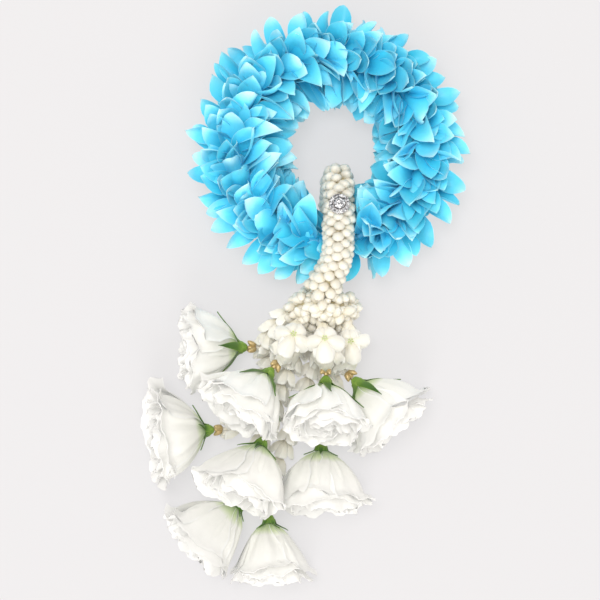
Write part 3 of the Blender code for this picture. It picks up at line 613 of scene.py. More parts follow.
# Jasmine buds: waxy ivory, a little olive at the foot where they are tied, with a soft
# unevenness about 2 mm wide
JASMINE_BUD = PlantSkin(
    "jasmine_bud_skin", ((0.0, "#C8BA8E"), (0.22, "#E9E0C8"), (0.6, "#F1ECDE"), (1.0, "#F5F2E8")),
    margin="#F3EEE2", margin_share=0.0001, shade=(0.80, 0.97), vein_spacing=0.0022, vein_height=0.00006,
    roughness=0.42, glow=0.25, glow_colour=(1.0, 0.9, 0.7), coordinates=Coordinates.PLACE, coat=0.1)
# Crown flowers: thick white lobes with a waxy coat, beige towards their feet: painted warm shade
# for their hollows. A faint painted glow of their own stands in for the little light that comes
# through them
CROWN_FLOWER = PlantSkin(
    "crown_flower_wax", ((0.0, "#E9E2CB"), (0.25, "#F6F2E6"), (0.7, "#FBF9F2"), (1.0, "#FDFCF6")),
    margin="#FDFBF6", margin_share=0.10, shade=(0.88, 0.96), vein_spacing=0.0026, vein_height=0.00008,
    roughness=0.40, glow=0.2, glow_colour=(1.0, 0.93, 0.82), coordinates=Coordinates.PLACE, coat=0.15,
    through=0.03)
# White blooms: thin matte petals, lime at the foot, with veins about 1.5 mm apart that run to the
# rim. Above the lime they are a little creamier than at the rim: painted warm shade for the bloom's
# depths. A faint painted glow of their own keeps their shaded sides pale, for the light that comes
# through them
WHITE_PETAL = PlantSkin(
    "white_bloom_petal", ((0.0, "#93B455"), (0.10, "#CFDCAB"), (0.19, "#F5F4EC"), (1.0, "#FAF9F6")),
    margin="#FCFCFA", margin_share=0.08, shade=(0.83, 0.93), vein_spacing=0.06, vein_height=0.00016,
    roughness=0.6, glow=0.12, glow_colour=(1.0, 0.96, 0.90), coordinates=Coordinates.SURFACE, sheen=0.1,
    through=0.07)
# Sepals: fresh lime at the cup, darker green towards the points, with lengthwise ribs
SEPAL_GREEN = PlantSkin(
    "sepal_green", ((0.0, "#84A646"), (0.3, "#578033"), (1.0, "#2E5821")),
    margin="#96B650", margin_share=0.20, shade=(0.80, 1.15), vein_spacing=0.12, vein_height=0.00015,
    roughness=0.45, glow=0.10, glow_colour=(0.5, 1.0, 0.3), coordinates=Coordinates.SURFACE)
# Crown in the middle of an open crown flower: waxy pale green, paler at its knobs' tips
GREEN_CROWN = PlantSkin(
    "green_crown", ((0.0, "#A9BE62"), (1.0, "#DDE7B4")),
    margin="#DDE7B4", margin_share=0.10, shade=(0.9, 1.1), vein_spacing=0.0012, vein_height=0.00005,
    roughness=0.5, glow=0.2, glow_colour=(0.8, 1.0, 0.5), coordinates=Coordinates.PLACE)
# Buds painted gold: a metal paint, uneven where it is thin
GILDED_BUD = Plain("gold_painted_bud", "#E2CE9C", "#A98850", metallic=0.35, roughness=0.38,
                   rough_spread=0.12, grain=0.0016, grain_height=0.00008)
# Rhodium plated silver: bright and nearly smooth, with faint handling marks
PLATED_SILVER = Plain("rhodium_plated_silver", "#DFDCDB", "#A09B9A", metallic=1.0, roughness=0.18,
                      rough_spread=0.05, grain=0.0012, grain_height=0.00001)
# Twisted cotton cord: matte, its fibres drawn 0.8 mm apart, coarser than real, so that they show
COTTON_CORD = Plain("twisted_cotton_cord", "#F0ECE0", "#CFC8B6", metallic=0.0, roughness=0.9,
                    rough_spread=0.05, grain=0.0008, grain_height=0.0002)
# Cut crystal with the index of lead glass, its facets about 0.9 mm. Their flashes, dark grey to white, are
# painted reflections
CUT_CRYSTAL = CutCrystal("cut_crystal", ("#303136", "#85868B", "#D3D4D8", "#FFFFFF"), facet=0.0009,
                         roughness=0.05, ior=1.62)


@dataclass(frozen=True)
class Layout:
    """Where the ring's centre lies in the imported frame, and how high its cord is."""

    shift: Array
    hoop_height: float

    @staticmethod
    def from_frame() -> Layout:
        """Reads both from the box of the cord hoop.

        Returns:
            The layout.
        """
        low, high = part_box("hoop_cord")
        middle = (np.array(low) + np.array(high)) / 2
        return Layout(np.array([middle[0], middle[1], 0.0]), float(middle[2]))


@dataclass
class Finishes:
    """Each finish as one material, made on first use, and given to the pieces."""

    layout: Layout
    made: dict[str, bpy.types.Material] = field(default_factory=dict)

    def of(self, finish: Finish) -> bpy.types.Material:
        """The material of a finish.

        Args:
            finish: The finish.

        Returns:
            Its material, the same one each time.
        """
        if finish.name not in self.made:
            self.made[finish.name] = finish.material()
        return self.made[finish.name]

    def dress(self, shells: Shells, name: str, finish: Finish, slot: str, *nodes: str) -> bpy.types.Object:
        """Makes a piece, rides it on the part and hides the CAD nodes that it stands for.

        Args:
            shells: The piece's shells.
            name: Name of the piece.
            finish: Its finish.
            slot: The record's material slot, not used.
            *nodes: CAD nodes that it replaces.

        Returns:
            The object.
        """
        made = shells.object(name, self.of(finish), self.layout.shift)
        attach(made, "root")
        if nodes:
            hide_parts(*nodes)
        return made


@dataclass
class JasmineRope:
    """The strap: jasmine buds in staggered rows round a core, over the ring and back under it. It
    is narrower sideways, and swells near the collar. Lean and turn are shares of a bud's tilt
    along the rope and round it, and uneven is how far buds stand in or out. Play is how far a
    bud's angle or place differs either way."""

    layout: Layout
    radius: float = 0.0112
    sleeve_radius: float = 0.0069
    seat: float = 0.0009
    x: float = 0.0062
    collar_y: float = -0.0925
    split_y: float = -0.036
    middle_height: float = 0.03
    row_pitch: float = 0.0029
    buds_round: int = 5
    bud: Egg = Egg(point=-0.06, oval=1.26)
    bud_length: float = 0.0092
    bud_lengths: tuple[float, float] = (0.90, 1.06)
    bud_width: float = 0.0064
    bud_widths: tuple[float, float] = (0.90, 1.08)
    angle_play: float = 0.07
    along_play: float = 0.0003
    lean: tuple[float, float] = (-0.60, -0.20)
    turn: tuple[float, float] = (-0.25, 0.25)
    uneven: tuple[float, float] = (-0.0004, 0.0006)
    # Lower than the collar's tones, so the strap's buds are darker: painted shade that tones down the strap,
    # which lies on top in the stronger light
    tones: tuple[float, float] = (0.0, 0.65)
    proud: float = 0.0008
    narrow: float = 0.13
    swell: float = 0.0030
    swell_length: float = 0.014
    core_depth: float = 0.0044
    core_pitch: float = 0.004
    run_gap: float = 0.0004
    seed: int = 31
    path: Route = field(init=False)

    def __post_init__(self) -> None:
        """Works out the rope's path from the ring's height: over the sleeve, down through the hole,
        and back under the ring to the collar."""
        x, level, end = self.x, self.layout.hoop_height, self.collar_y + GAP
        reach = self.sleeve_radius + GAP + self.radius - self.seat
        over, under = level + reach, level - reach
        self.path = Route.through([
            (-0.0045, end, 0.0345),
            (0.0005, -0.0820, 0.0420),
            (x - 0.0005, -0.0700, over - 0.0010),
            (x, -0.0600, over),
            (x + 0.0005, -0.0480, over - 0.0015),
            (x + 0.0005, -0.0335, over - 0.0055),
            (x, -0.0232, level + 0.0065),
            (x - 0.0004, -0.0208, level - 0.0025),
            (x - 0.0010, -0.0262, level - 0.0125),
            (x - 0.0020, -0.0420, under + 0.0008),
            (x - 0.0040, -0.0560, under),
            (x - 0.0060, -0.0760, under),
            (-0.0040, end, under),
        ], 0.0034)

    def nearest(self, y: float, front: bool) -> int:
        """Number of the path's point that is nearest to a y.

        Args:
            y: The y.
            front: Whether the point is on the front run.

        Returns:
            The number.
        """
        points = self.path.points
        high = points[:, 2] > self.middle_height
        return int(np.argmin(np.abs(points[:, 1] - y) + 10 * (high != front)))

    def buds(self, start: float, end: float, seed: int) -> Shells:
        """Buds between two distances along the path. Row n lies n pitches along, its buds stand
        at even angles turned by half a step on each second row, and each leans a little to a side.

        Args:
            start: Where the run starts.
            end: Where it ends.
            seed: Seed of the buds' small differences.

        Returns:
            The buds and the core that they are tied to.
        """
        rng = np.random.default_rng(seed)
        rows = np.arange(math.ceil(start / self.row_pitch), math.floor(end / self.row_pitch) + 1)
        row, column = (part.ravel() for part in np.meshgrid(rows, np.arange(self.buds_round), indexing="ij"))
        count = len(row)
        angle = TURN * (column + 0.5 * (row % 2)) / self.buds_round
        angle = angle + rng.uniform(-self.angle_play, self.angle_play, count)
        along = row * self.row_pitch + rng.uniform(-self.along_play, self.along_play, count)
        tangent, side, top = self.path.directions(along)
        out = swing(angle, side, top)
        lean = rng.uniform(*self.lean, count)[:, None]
        turn = rng.uniform(*self.turn, count)[:, None]
        axes = unit(out + tangent * lean + np.cross(tangent, out) * turn)
        length = self.bud_length * rng.uniform(*self.bud_lengths, count)
        width = self.bud_width * rng.uniform(*self.bud_widths, count)
        swell = self.swell * np.clip(1 - along / self.swell_length, 0, 1)
        reach = (self.radius + self.proud) * (1 - self.narrow * np.cos(angle) ** 2) + swell
        reach = reach + rng.uniform(*self.uneven, count)
        foot = self.path.place(along) + out * reach[:, None] - axes * length[:, None]
        shells = Shells()
        shells.add_round(self.bud.rings(foot, axes, length, width, np.cross(tangent, out)),
                         rng.uniform(*self.tones, count))
        core_rows = max(3, int((end - start) / self.core_pitch))
        shells.add_round(self.path.core(start, end, core_rows, self.radius - self.core_depth, 16), 0.2, 0.1)
        return shells

    def build(self, finishes: Finishes) -> None:
        """Builds and dresses the three runs of the rope.

        Args:
            finishes: The materials.
        """
        over, under = (self.nearest(self.split_y, front) * self.path.spacing for front in (True, False))
        runs = (("strap_front", 0.0, over), ("strap_turn", over, under),
                ("strap_back", under, self.path.length))
        for number, (name, start, end) in enumerate(runs):
            shells = self.buds(start + self.run_gap, end, self.seed + number)
            shells.press([TABLE])
            finishes.dress(shells, f"{name}_buds", JASMINE_BUD, "jasmine_bud", name)


@dataclass(frozen=True)
class Sector:
    """One sector of the ring: its CAD node, the angles where it starts and that it spans, radius of
    its packed feet, rows with petals, seed, length kept, and whether its start has petals."""

    node: str
    first: float
    span: float
    wall: float
    rows: tuple[int, ...]
    seed: int
    share: float = 1.0
    from_start: bool = True


@dataclass
class PetalRing:
    """The ring of dyed petals: packed feet round the cord, and rows of petals that lean clockwise.
    Petals in the hole are longer, more so on the long side, and those beneath are shorter. Leans,
    twists and their play are in degrees, and play is how far a petal differs either way. Curl is a
    middle share and its play, and cup, keel, screw and hook are drawn between two shares."""

    layout: Layout
    rope: JasmineRope
    hoop_radius: float = 0.0605
    core_radius: float = 0.0052
    rows: int = 8
    station: float = math.radians(4)
    strap_azimuth: float = math.radians(-84)
    strap_span: float = math.radians(24)
    sector_span: float = math.radians(48)
    sectors: int = 7
    length: float = 0.0270
    widths: tuple[float, ...] = (0.0132, 0.0146, 0.0164, 0.0160, 0.0152, 0.0150, 0.0140, 0.0130)
    thickness: float = 0.0005
    leans: tuple[float, ...] = (18, 28, 54, 26, 12, 10, 10, 12)
    twists: tuple[float, ...] = (30, 34, 74, 18, 16, 20, 28, 28)
    lengths: tuple[float, ...] = (1.0, 0.86, 1.0, 1.0, 1.0, 1.0, 1.0, 1.0)
    sparse: tuple[int, ...] = (3, 4, 5)
    filled: tuple[int, ...] = (1, 3, 4)
    filled_share: float = 0.9
    long_side: float = math.radians(170)
    inner_longer: tuple[float, float] = (0.19, 0.15)
    lower_shorter: float = 0.08
    lean_play: float = 17
    twist_play: float = 24
    section_play: float = 13
    length_play: float = 0.10
    width_play: float = 0.08
    edge_wave: float = 0.0010
    curl: tuple[float, float] = (0.06, 0.12)
    cup: tuple[float, float] = (0.20, 0.80)
    keel: tuple[float, float] = (0.0, 0.45)
    screw: tuple[float, float] = (-0.5, 0.5)
    hook: tuple[float, float] = (-0.20, 0.26)
    between_seed: int = 40
    shape_seed: int = 500
    clearance: float = 0.001
    grid: tuple[int, int] = (9, 7)

    def surface(self, plan: dict[str, Array]) -> Array:
        """Middle surfaces of petals. The half width widens as a sine to its broadest at half way
        and closes to a round tip, as 1 - x to the power 2.3 and that to the power 0.72. The rows
        stand closer towards the tip. The edges rise with v squared for the cup and with v t for the
        screw, the middle folds with the size of v, a wave runs along the edges, and the whole bends
        with t squared, its tip with a hook of its own.

        Args:
            plan: Arrays of one value for each petal: azimuth, section, lean, twist, length, width,
                curl, cup, keel, screw, wave and hook.

        Returns:
            Points, as petals by rows by points across by 3.
        """
        outward = swing(plan["azimuth"], EAST, NORTH)
        clockwise = swing(plan["azimuth"], -NORTH, EAST)
        radial, upward = swing(plan["section"], outward, UP), swing(plan["section"], UP, -outward)
        forward, aside = swing(plan["lean"], radial, clockwise), swing(plan["lean"], clockwise, -radial)
        across, normal = swing(plan["twist"], aside, upward), swing(plan["twist"], upward, -aside)
        origin = self.hoop_radius * outward + self.layout.hoop_height * UP + self.core_radius * 0.8 * radial
        t, v = grid(*self.grid)
        t = 1 - (1 - t) ** 1.4
        rise = 0.30 + 0.70 * np.sin(np.minimum(t / 0.50, 1) * math.pi / 2)
        close = (1 - np.clip((t - 0.50) / 0.50, 0, 1) ** 2.3) ** 0.72
        width, length, cup, keel, screw, wave, hook, curl = (
            plan[key][:, None, None]
            for key in ("width", "length", "cup", "keel", "screw", "wave", "hook", "curl"))
        half = width / 2 * np.maximum(rise * close, 0.02)
        facing = np.where(np.cos(plan["section"]) < -0.05, -1.0, 1.0)[:, None, None]
        lift = (curl * t**2 * length + half * (facing * (cup * v**2 + keel * np.abs(v)) + screw * v * t)
                + self.edge_wave * np.sin(TURN * (t * 1.3 + wave)) * v * t
                + hook * length * np.clip((t - 0.6) / 0.4, 0, 1) ** 2)
        return (origin[:, None, None] + forward[:, None, None] * (length * t)[..., None]
                + across[:, None, None] * (half * v)[..., None] + normal[:, None, None] * lift[..., None])

    def lattice(self, one: Sector, between: bool) -> dict[str, Array]:
        """Plans of a sector's petals. The main ones stand on every second place of the stations and
        rows, like a draughts board, and on every fourth in the sparse rows. The ones between stand
        on the other places of the filled rows. Each draws its differences.

        Args:
            one: The sector.
            between: Whether to take the places between the main ones.

        Returns:
            Arrays of one value for each petal.
        """
        seed = one.seed + self.between_seed * between
        draw = random.Random(seed)
        places = [(i, j) for i in range(0 if one.from_start else 1, round(one.span / self.station))
                  for j in one.rows if (i + j) % 2 != between]
        spots = np.array([(i, j) for i, j in places
                          if (j in self.filled if between else j not in self.sparse or (i + j) % 4 == 1)])
        lean, twist, longer, wider, around, curl = np.array(
            [[draw.uniform(-1, 1) for _ in range(6)] for _ in spots]).T
        count, row = len(spots), spots[:, 1]
        extra = np.random.default_rng(seed + self.shape_seed)
        section = row * TURN / self.rows
        azimuth = one.first + self.station * spots[:, 0]
        to_long_side = np.cos(azimuth - self.long_side)
        all_round, one_side = self.inner_longer
        inner = np.maximum(-np.cos(section), 0) * (all_round + one_side * to_long_side)
        lower = self.lower_shorter * np.maximum(-np.sin(section), 0)
        size = one.share * (self.filled_share if between else 1.0)
        size = size * (1 - lower + inner) * (1 + self.length_play * longer) * np.array(self.lengths)[row]
        return {
            "azimuth": azimuth,
            "section": section + np.radians(self.section_play * around),
            "lean": np.radians(np.array(self.leans)[row] + self.lean_play * lean),
            "twist": np.radians(np.array(self.twists)[row] + self.twist_play * twist),
            "length": self.length * size,
            "width": np.array(self.widths)[row] * (1 + self.width_play * wider),
            "curl": self.curl[0] + self.curl[1] * curl,
            "cup": extra.uniform(*self.cup, count),
            "keel": extra.uniform(*self.keel, count) * extra.uniform(0, 1, count),
            "screw": extra.uniform(*self.screw, count),
            "wave": extra.uniform(0, 1, count),
            "hook": extra.uniform(*self.hook, count),
            # Petals towards the long side, on the left, get higher tones, so paler and brighter: a painted
            # highlight for the light from the upper left
            "tone": np.clip(extra.uniform(0.03, 1.03, count) + 0.10 * to_long_side, 0, 1),
        }

    def clear_of_rope(self, plan: dict[str, Array]) -> dict[str, Array]:
        """Leans or shortens the petals that would cross the rope or the collar's face, by the first
        of a few ways that clears them.

        Args:
            plan: The petals' plan.

        Returns:
            The plan with their lean, length and width changed.
        """
        shares, leans = (1.0, 0.8, 0.6, 0.42, 0.25), (0, -15, 15, -30, 30, -45, 45)
        waiting = np.ones(len(plan["azimuth"]), bool)
        done = {key: values.copy() for key, values in plan.items()}
        for share, degrees in ((share, degrees) for share in shares for degrees in leans):
            tried = {**plan, "lean": plan["lean"] + math.radians(degrees), "length": plan["length"] * share,
                     "width": plan["width"] * (0.4 + 0.6 * share)}
            points = self.surface(tried)[:, 2:].reshape(len(waiting), -1, 3)
            away = np.linalg.norm(points[:, :, None] - self.rope.path.points[None, None], axis=-1)
            clear = ((away.min(axis=(1, 2)) > self.rope.radius - self.clearance)
                     & (points[..., 1].min(axis=1) > self.rope.collar_y + self.clearance))
            now = waiting & (clear | (share == shares[-1]))
            for key in ("lean", "length", "width"):
                done[key][now] = tried[key][now]
            waiting &= ~now
        return done

    def feet(self, one: Sector) -> Array:
        """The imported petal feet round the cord, as one closed tube round the hoop's circle, just
        short of the sector's two ends.

        Args:
            one: The sector.

        Returns:
            Rings, as one shell.
        """
        rows = max(4, round(one.span / self.station) + 1)
        outward = swing(np.linspace(one.first + 0.003, one.first + one.span - 0.003, rows), EAST, NORTH)
        middles = outward * self.hoop_radius + UP * self.layout.hoop_height
        return tube(middles, outward, np.tile(UP, (rows, 1)), one.wall, 16)

    def build(self, finishes: Finishes) -> None:
        """Builds and dresses the squeezed sector under the strap and the others, going round.

        Args:
            finishes: The materials.
        """
        after = self.strap_azimuth + self.strap_span / 2
        sectors = [Sector("petals_under_strap", after - self.strap_span, self.strap_span,
                          self.rope.sleeve_radius, (0, 1, 3, 4, 7), 7, 0.80, False)]
        for k in range(self.sectors):
            sectors.append(Sector(f"petals_{k + 1}", after + self.sector_span * k, self.sector_span,
                                  self.core_radius, tuple(range(self.rows)), 8 + k, from_start=k > 0))
        for one in sectors:
            shells = Shells()
            for between in (False, True):
                plan = self.clear_of_rope(self.lattice(one, between))
                shells.add_sheets(self.surface(plan), self.thickness, plan["tone"])
            shells.add_round(self.feet(one), 0.1, 0.1)
            shells.press([TABLE])
            finishes.dress(shells, f"{one.node}_dyed", DYED_PETAL, "blue_petal", one.node)


@dataclass
class BudCollar:
    """The dome of loose jasmine buds where the strap's two ends meet the strands. Its profile is
    given as shares of the depth and of the half width, and play is how far an angle differs."""

    face_y: float = -0.0925
    x: float = -0.004
    half_width: float = 0.0245
    half_height: float = 0.0243
    flat: float = 0.0022
    depth: float = 0.0245
    bud_length: float = 0.0098
    bud_width: float = 0.0068
    bud_sizes: tuple[float, float] = (0.86, 1.10)
    spacing: float = 0.0061
    loose: tuple[float, float] = (-0.0008, 0.0032)
    tilt: float = 0.65
    angle_play: float = 0.05
    tones: tuple[float, float] = (0.4, 1.0)
    seed: int = 77
    inset: float = 0.005
    profile_depth: tuple[float, ...] = (0.0, 0.10, 0.26, 0.44, 0.62, 0.77, 0.89, 0.97, 1.0)
    profile_width: tuple[float, ...] = (0.50, 0.80, 0.98, 1.0, 0.92, 0.76, 0.54, 0.28, 0.10)

    def build(self, finishes: Finishes) -> None:
        """Covers the dome with buds. A row lies at each step of depth, where the profile gives its
        ellipse, and its buds stand at even angles along the ellipsoid's normals, some further out.
        The core is the same profile, a few mm inside.

        Args:
            finishes: The materials.
        """
        depth, share = np.array(self.profile_depth), np.array(self.profile_width)
        rng = np.random.default_rng(self.seed)
        slant = np.hypot(np.diff(depth) * self.depth, np.diff(share) * self.half_width)
        reach = np.concatenate([[0.0], np.cumsum(slant)])
        steps = np.arange(0.0008, reach[-1] + 0.001, self.spacing * 0.86)
        at = np.interp(steps, reach, depth)
        wide = np.interp(steps, reach, share)
        counts = [max(1, round(TURN * self.half_width * size / self.spacing)) for size in wide]
        row = np.repeat(np.arange(len(wide)), counts)
        angle = np.concatenate([TURN * (np.arange(count) + 0.5 * (number % 2)) / count
                                for number, count in enumerate(counts)])
        angle = angle + rng.uniform(-self.angle_play, self.angle_play, len(row))
        points = np.stack([self.x + self.half_width * wide[row] * np.cos(angle),
                           self.face_y - self.depth * at[row] - 0.001,
                           self.half_height * (1 + wide[row] * np.sin(angle)) - self.flat], axis=1)
        middle = np.array([self.x, self.face_y - 0.34 * self.depth, self.half_height - self.flat])
        radii = np.array([self.half_width, self.depth * 0.7, self.half_height])
        normal = unit((points - middle) / radii ** 2)
        loose = rng.uniform(*self.loose, len(row))
        axes = unit(normal + rng.uniform(-self.tilt, self.tilt, (len(row), 3)))
        length = self.bud_length * rng.uniform(*self.bud_sizes, len(row))
        width = self.bud_width * rng.uniform(*self.bud_sizes, len(row))
        foot = points + normal * loose[:, None] - axes * length[:, None]
        shells = Shells()
        shells.add_round(Egg().rings(foot, axes, length, width), rng.uniform(*self.tones, len(row)))
        around = even_angles(24)
        core = np.stack(np.broadcast_arrays(
            self.x + (self.half_width - self.inset) * share[:, None] * np.cos(around),
            self.face_y - 0.002 - (self.depth - 0.006) * depth[:, None],
            self.half_height * (1 + 0.80 * share[:, None] * np.sin(around)) - self.flat), axis=-1)
        shells.add_round(core[None], 0.2, 0.12)
        shells.press([TABLE])
        finishes.dress(shells, "collar_buds", JASMINE_BUD, "jasmine_bud", "bud_collar")


@dataclass(frozen=True)
class Flower:
    """One strand of the tassel and the bloom at its end, with the same points as the solids. Roll
    is in degrees, a bell ends its strand in a large open flower, sepals is the share of their
    length, pale the least tone of the petals, and spread how far the outer ones open."""

    number: int
    root: Point
    mouth: Point
    radius: float
    roll: float
    bell: bool
    route: tuple[Point, ...]
    sepals: float = 1.0
    pale: float = 0.5
    spread: float = 1.0
    cup_length: float = 0.0062
    cup_radius: float = 0.0042
    gold_length: float = 0.0056

    @property
    def axis(self) -> Array:
        """Direction from the calyx root to the mouth."""
        return unit(np.array(self.mouth) - np.array(self.root))

    @property
    def length(self) -> float:
        """Length of the petals, from the top of the calyx cup to the mouth."""
        return float(np.linalg.norm(np.array(self.mouth) - np.array(self.root))) - self.cup_length - GAP

    def place(self, along: Array | float, angle: Array | float, reach: Array | float) -> Array:
        """Points at a distance along the axis from the root, and out from it at an angle.

        Args:
            along: Distance along the axis.
            angle: Angle round it from the bloom's side direction.
            reach: Distance from it.

        Returns:
            Points, with the three coordinates in the last axis.
        """
        side = unit(np.cross(self.axis, (0, 0, 1)))
        top = np.cross(side, self.axis)
        cos, sin = math.cos(math.radians(self.roll)), math.sin(math.radians(self.roll))
        side, top = cos * side + sin * top, cos * top - sin * side
        along, angle, reach = np.broadcast_arrays(along, angle, reach)
        return np.array(self.root) + self.axis * along[..., None] + swing(angle, side, top) * reach[..., None]

    def turned(self, along: tuple[float, ...], reach: tuple[float, ...], corners: int) -> Array:
        """A profile turned round the axis.

        Args:
            along: Distance of each ring along the axis.
            reach: Radius of each.
            corners: Points round.

        Returns:
            Rings, as one shell.
        """
        return self.place(np.array(along)[:, None], even_angles(corners), np.array(reach)[:, None])[None]

    def funnel(self, share: Array) -> Array:
        """Radius of the outer wall: a round cup, 1 - (1 - share) squared to the power 0.84."""
        base = self.cup_radius * 0.8
        return base + (self.radius - base) * (1 - (1 - np.clip(share, 0, 1)) ** 2) ** 0.84

    def funnel_at(self, along: float) -> float:
        """The same at a distance from the calyx root."""
        return self.funnel((np.asarray(along) - self.cup_length - GAP) / self.length)


FLOWERS = (
    Flower(1, (-0.053, -0.129, 0.013), (-0.096, -0.128, 0.022), 0.0255, 10, False,
           ((-0.024, -0.104, 0.024), (-0.037, -0.117, 0.017))),
    Flower(2, (-0.036, -0.142, 0.036), (-0.061, -0.173, 0.052), 0.0280, 50, True,
           ((-0.019, -0.109, 0.037), (-0.025, -0.127, 0.039))),
    Flower(3, (-0.0750, -0.183, 0.012), (-0.1165, -0.1865, 0.0235), 0.0285, 70, False,
           ((-0.020, -0.107, 0.008), (-0.0300, -0.126, 0.008), (-0.0450, -0.149, 0.008),
            (-0.0615, -0.170, 0.009)), sepals=0.58, pale=0.1, spread=1.8),
    Flower(4, (-0.0415, -0.187, 0.030), (-0.060, -0.226, 0.047), 0.0285, 0, False,
           ((-0.014, -0.112, 0.024), (-0.022, -0.132, 0.022), (-0.034, -0.165, 0.024)), sepals=0.58),
    Flower(5, (-0.0015, -0.147, 0.036), (-0.0030, -0.183, 0.054), 0.0265, 20, True,
           ((-0.003, -0.1105, 0.039), (-0.002, -0.130, 0.041))),
    Flower(6, (0.0165, -0.149, 0.016), (0.047, -0.183, 0.022), 0.0265, 40, True,
           ((0.012, -0.109, 0.026), (0.0145, -0.128, 0.022)), spread=1.7),
    Flower(7, (-0.004, -0.191, 0.012), (-0.006, -0.236, 0.022), 0.0285, 15, False,
           ((0.005, -0.1135, 0.009), (0.0055, -0.131, 0.0065), (0.003, -0.156, 0.008),
            (-0.002, -0.178, 0.009)), sepals=0.42, spread=1.6),
    Flower(8, (-0.0385, -0.239, 0.011), (-0.0385, -0.282, 0.021), 0.0245, 51, False,
           ((-0.005, -0.1155, 0.008), (-0.0055, -0.130, 0.008), (-0.015, -0.156, 0.008),
            (-0.029, -0.195, 0.0065), (-0.038, -0.222, 0.008)), sepals=0.42, spread=2.2),
    Flower(9, (-0.0555, -0.230, 0.012), (-0.090, -0.263, 0.021), 0.0250, 47, False,
           ((-0.014, -0.112, 0.008), (-0.017, -0.128, 0.008), (-0.0285, -0.152, 0.008),
            (-0.044, -0.190, 0.0065)), sepals=0.42, pale=0.0, spread=2.0),
)


def presses_between(flowers: tuple[Flower, ...]) -> dict[int, list[Press]]:
    """Finds, for each bloom, the table and the planes between it and the blooms it meets. A bloom is
    read as spheres along its funnel, and the plane lies where two of them reach deepest into each
    other, between them by the ratio of their radii.

    Args:
        flowers: All the flowers.

    Returns:
        The presses by the flower's number, three times over, since each one moves points past the
        others.
    """
    shares = np.linspace(0.1, 1.05, 12)
    spheres = [(one.place(one.cup_length + GAP + one.length * shares, 0.0, 0.0), one.funnel(shares) + 0.003)
               for one in flowers]
    found: dict[int, list[Press]] = {one.number: [] for one in flowers}
    for a, (centre_a, radius_a) in enumerate(spheres):
        for b, (centre_b, radius_b) in enumerate(spheres[a + 1:], a + 1):
            apart = np.linalg.norm(centre_b[None] - centre_a[:, None], axis=-1)
            deep = radius_a[:, None] + radius_b[None] - apart
            i, j = np.unravel_index(int(deep.argmax()), deep.shape)
            if deep[i, j] <= 0.001:
                continue
            normal = (centre_b[j] - centre_a[i]) / apart[i, j]
            origin = centre_a[i] + normal * apart[i, j] * radius_a[i] / (radius_a[i] + radius_b[j])
            found[flowers[a].number].append(Press(origin, normal, -GAP))
            found[flowers[b].number].append(Press(origin, -normal, -GAP))
    return {number: (presses + [TABLE]) * 3 for number, presses in found.items()}


@dataclass(frozen=True)
class Whorl:
    """One turn of a bloom's petals: their number, the whorl's size as a share of the funnel, half
    the angle that a petal spans in degrees, their reach and flare as shares, and a start turn."""

    count: int
    size: float
    half_angle: float
    reach: float
    flare: float
    turn: float


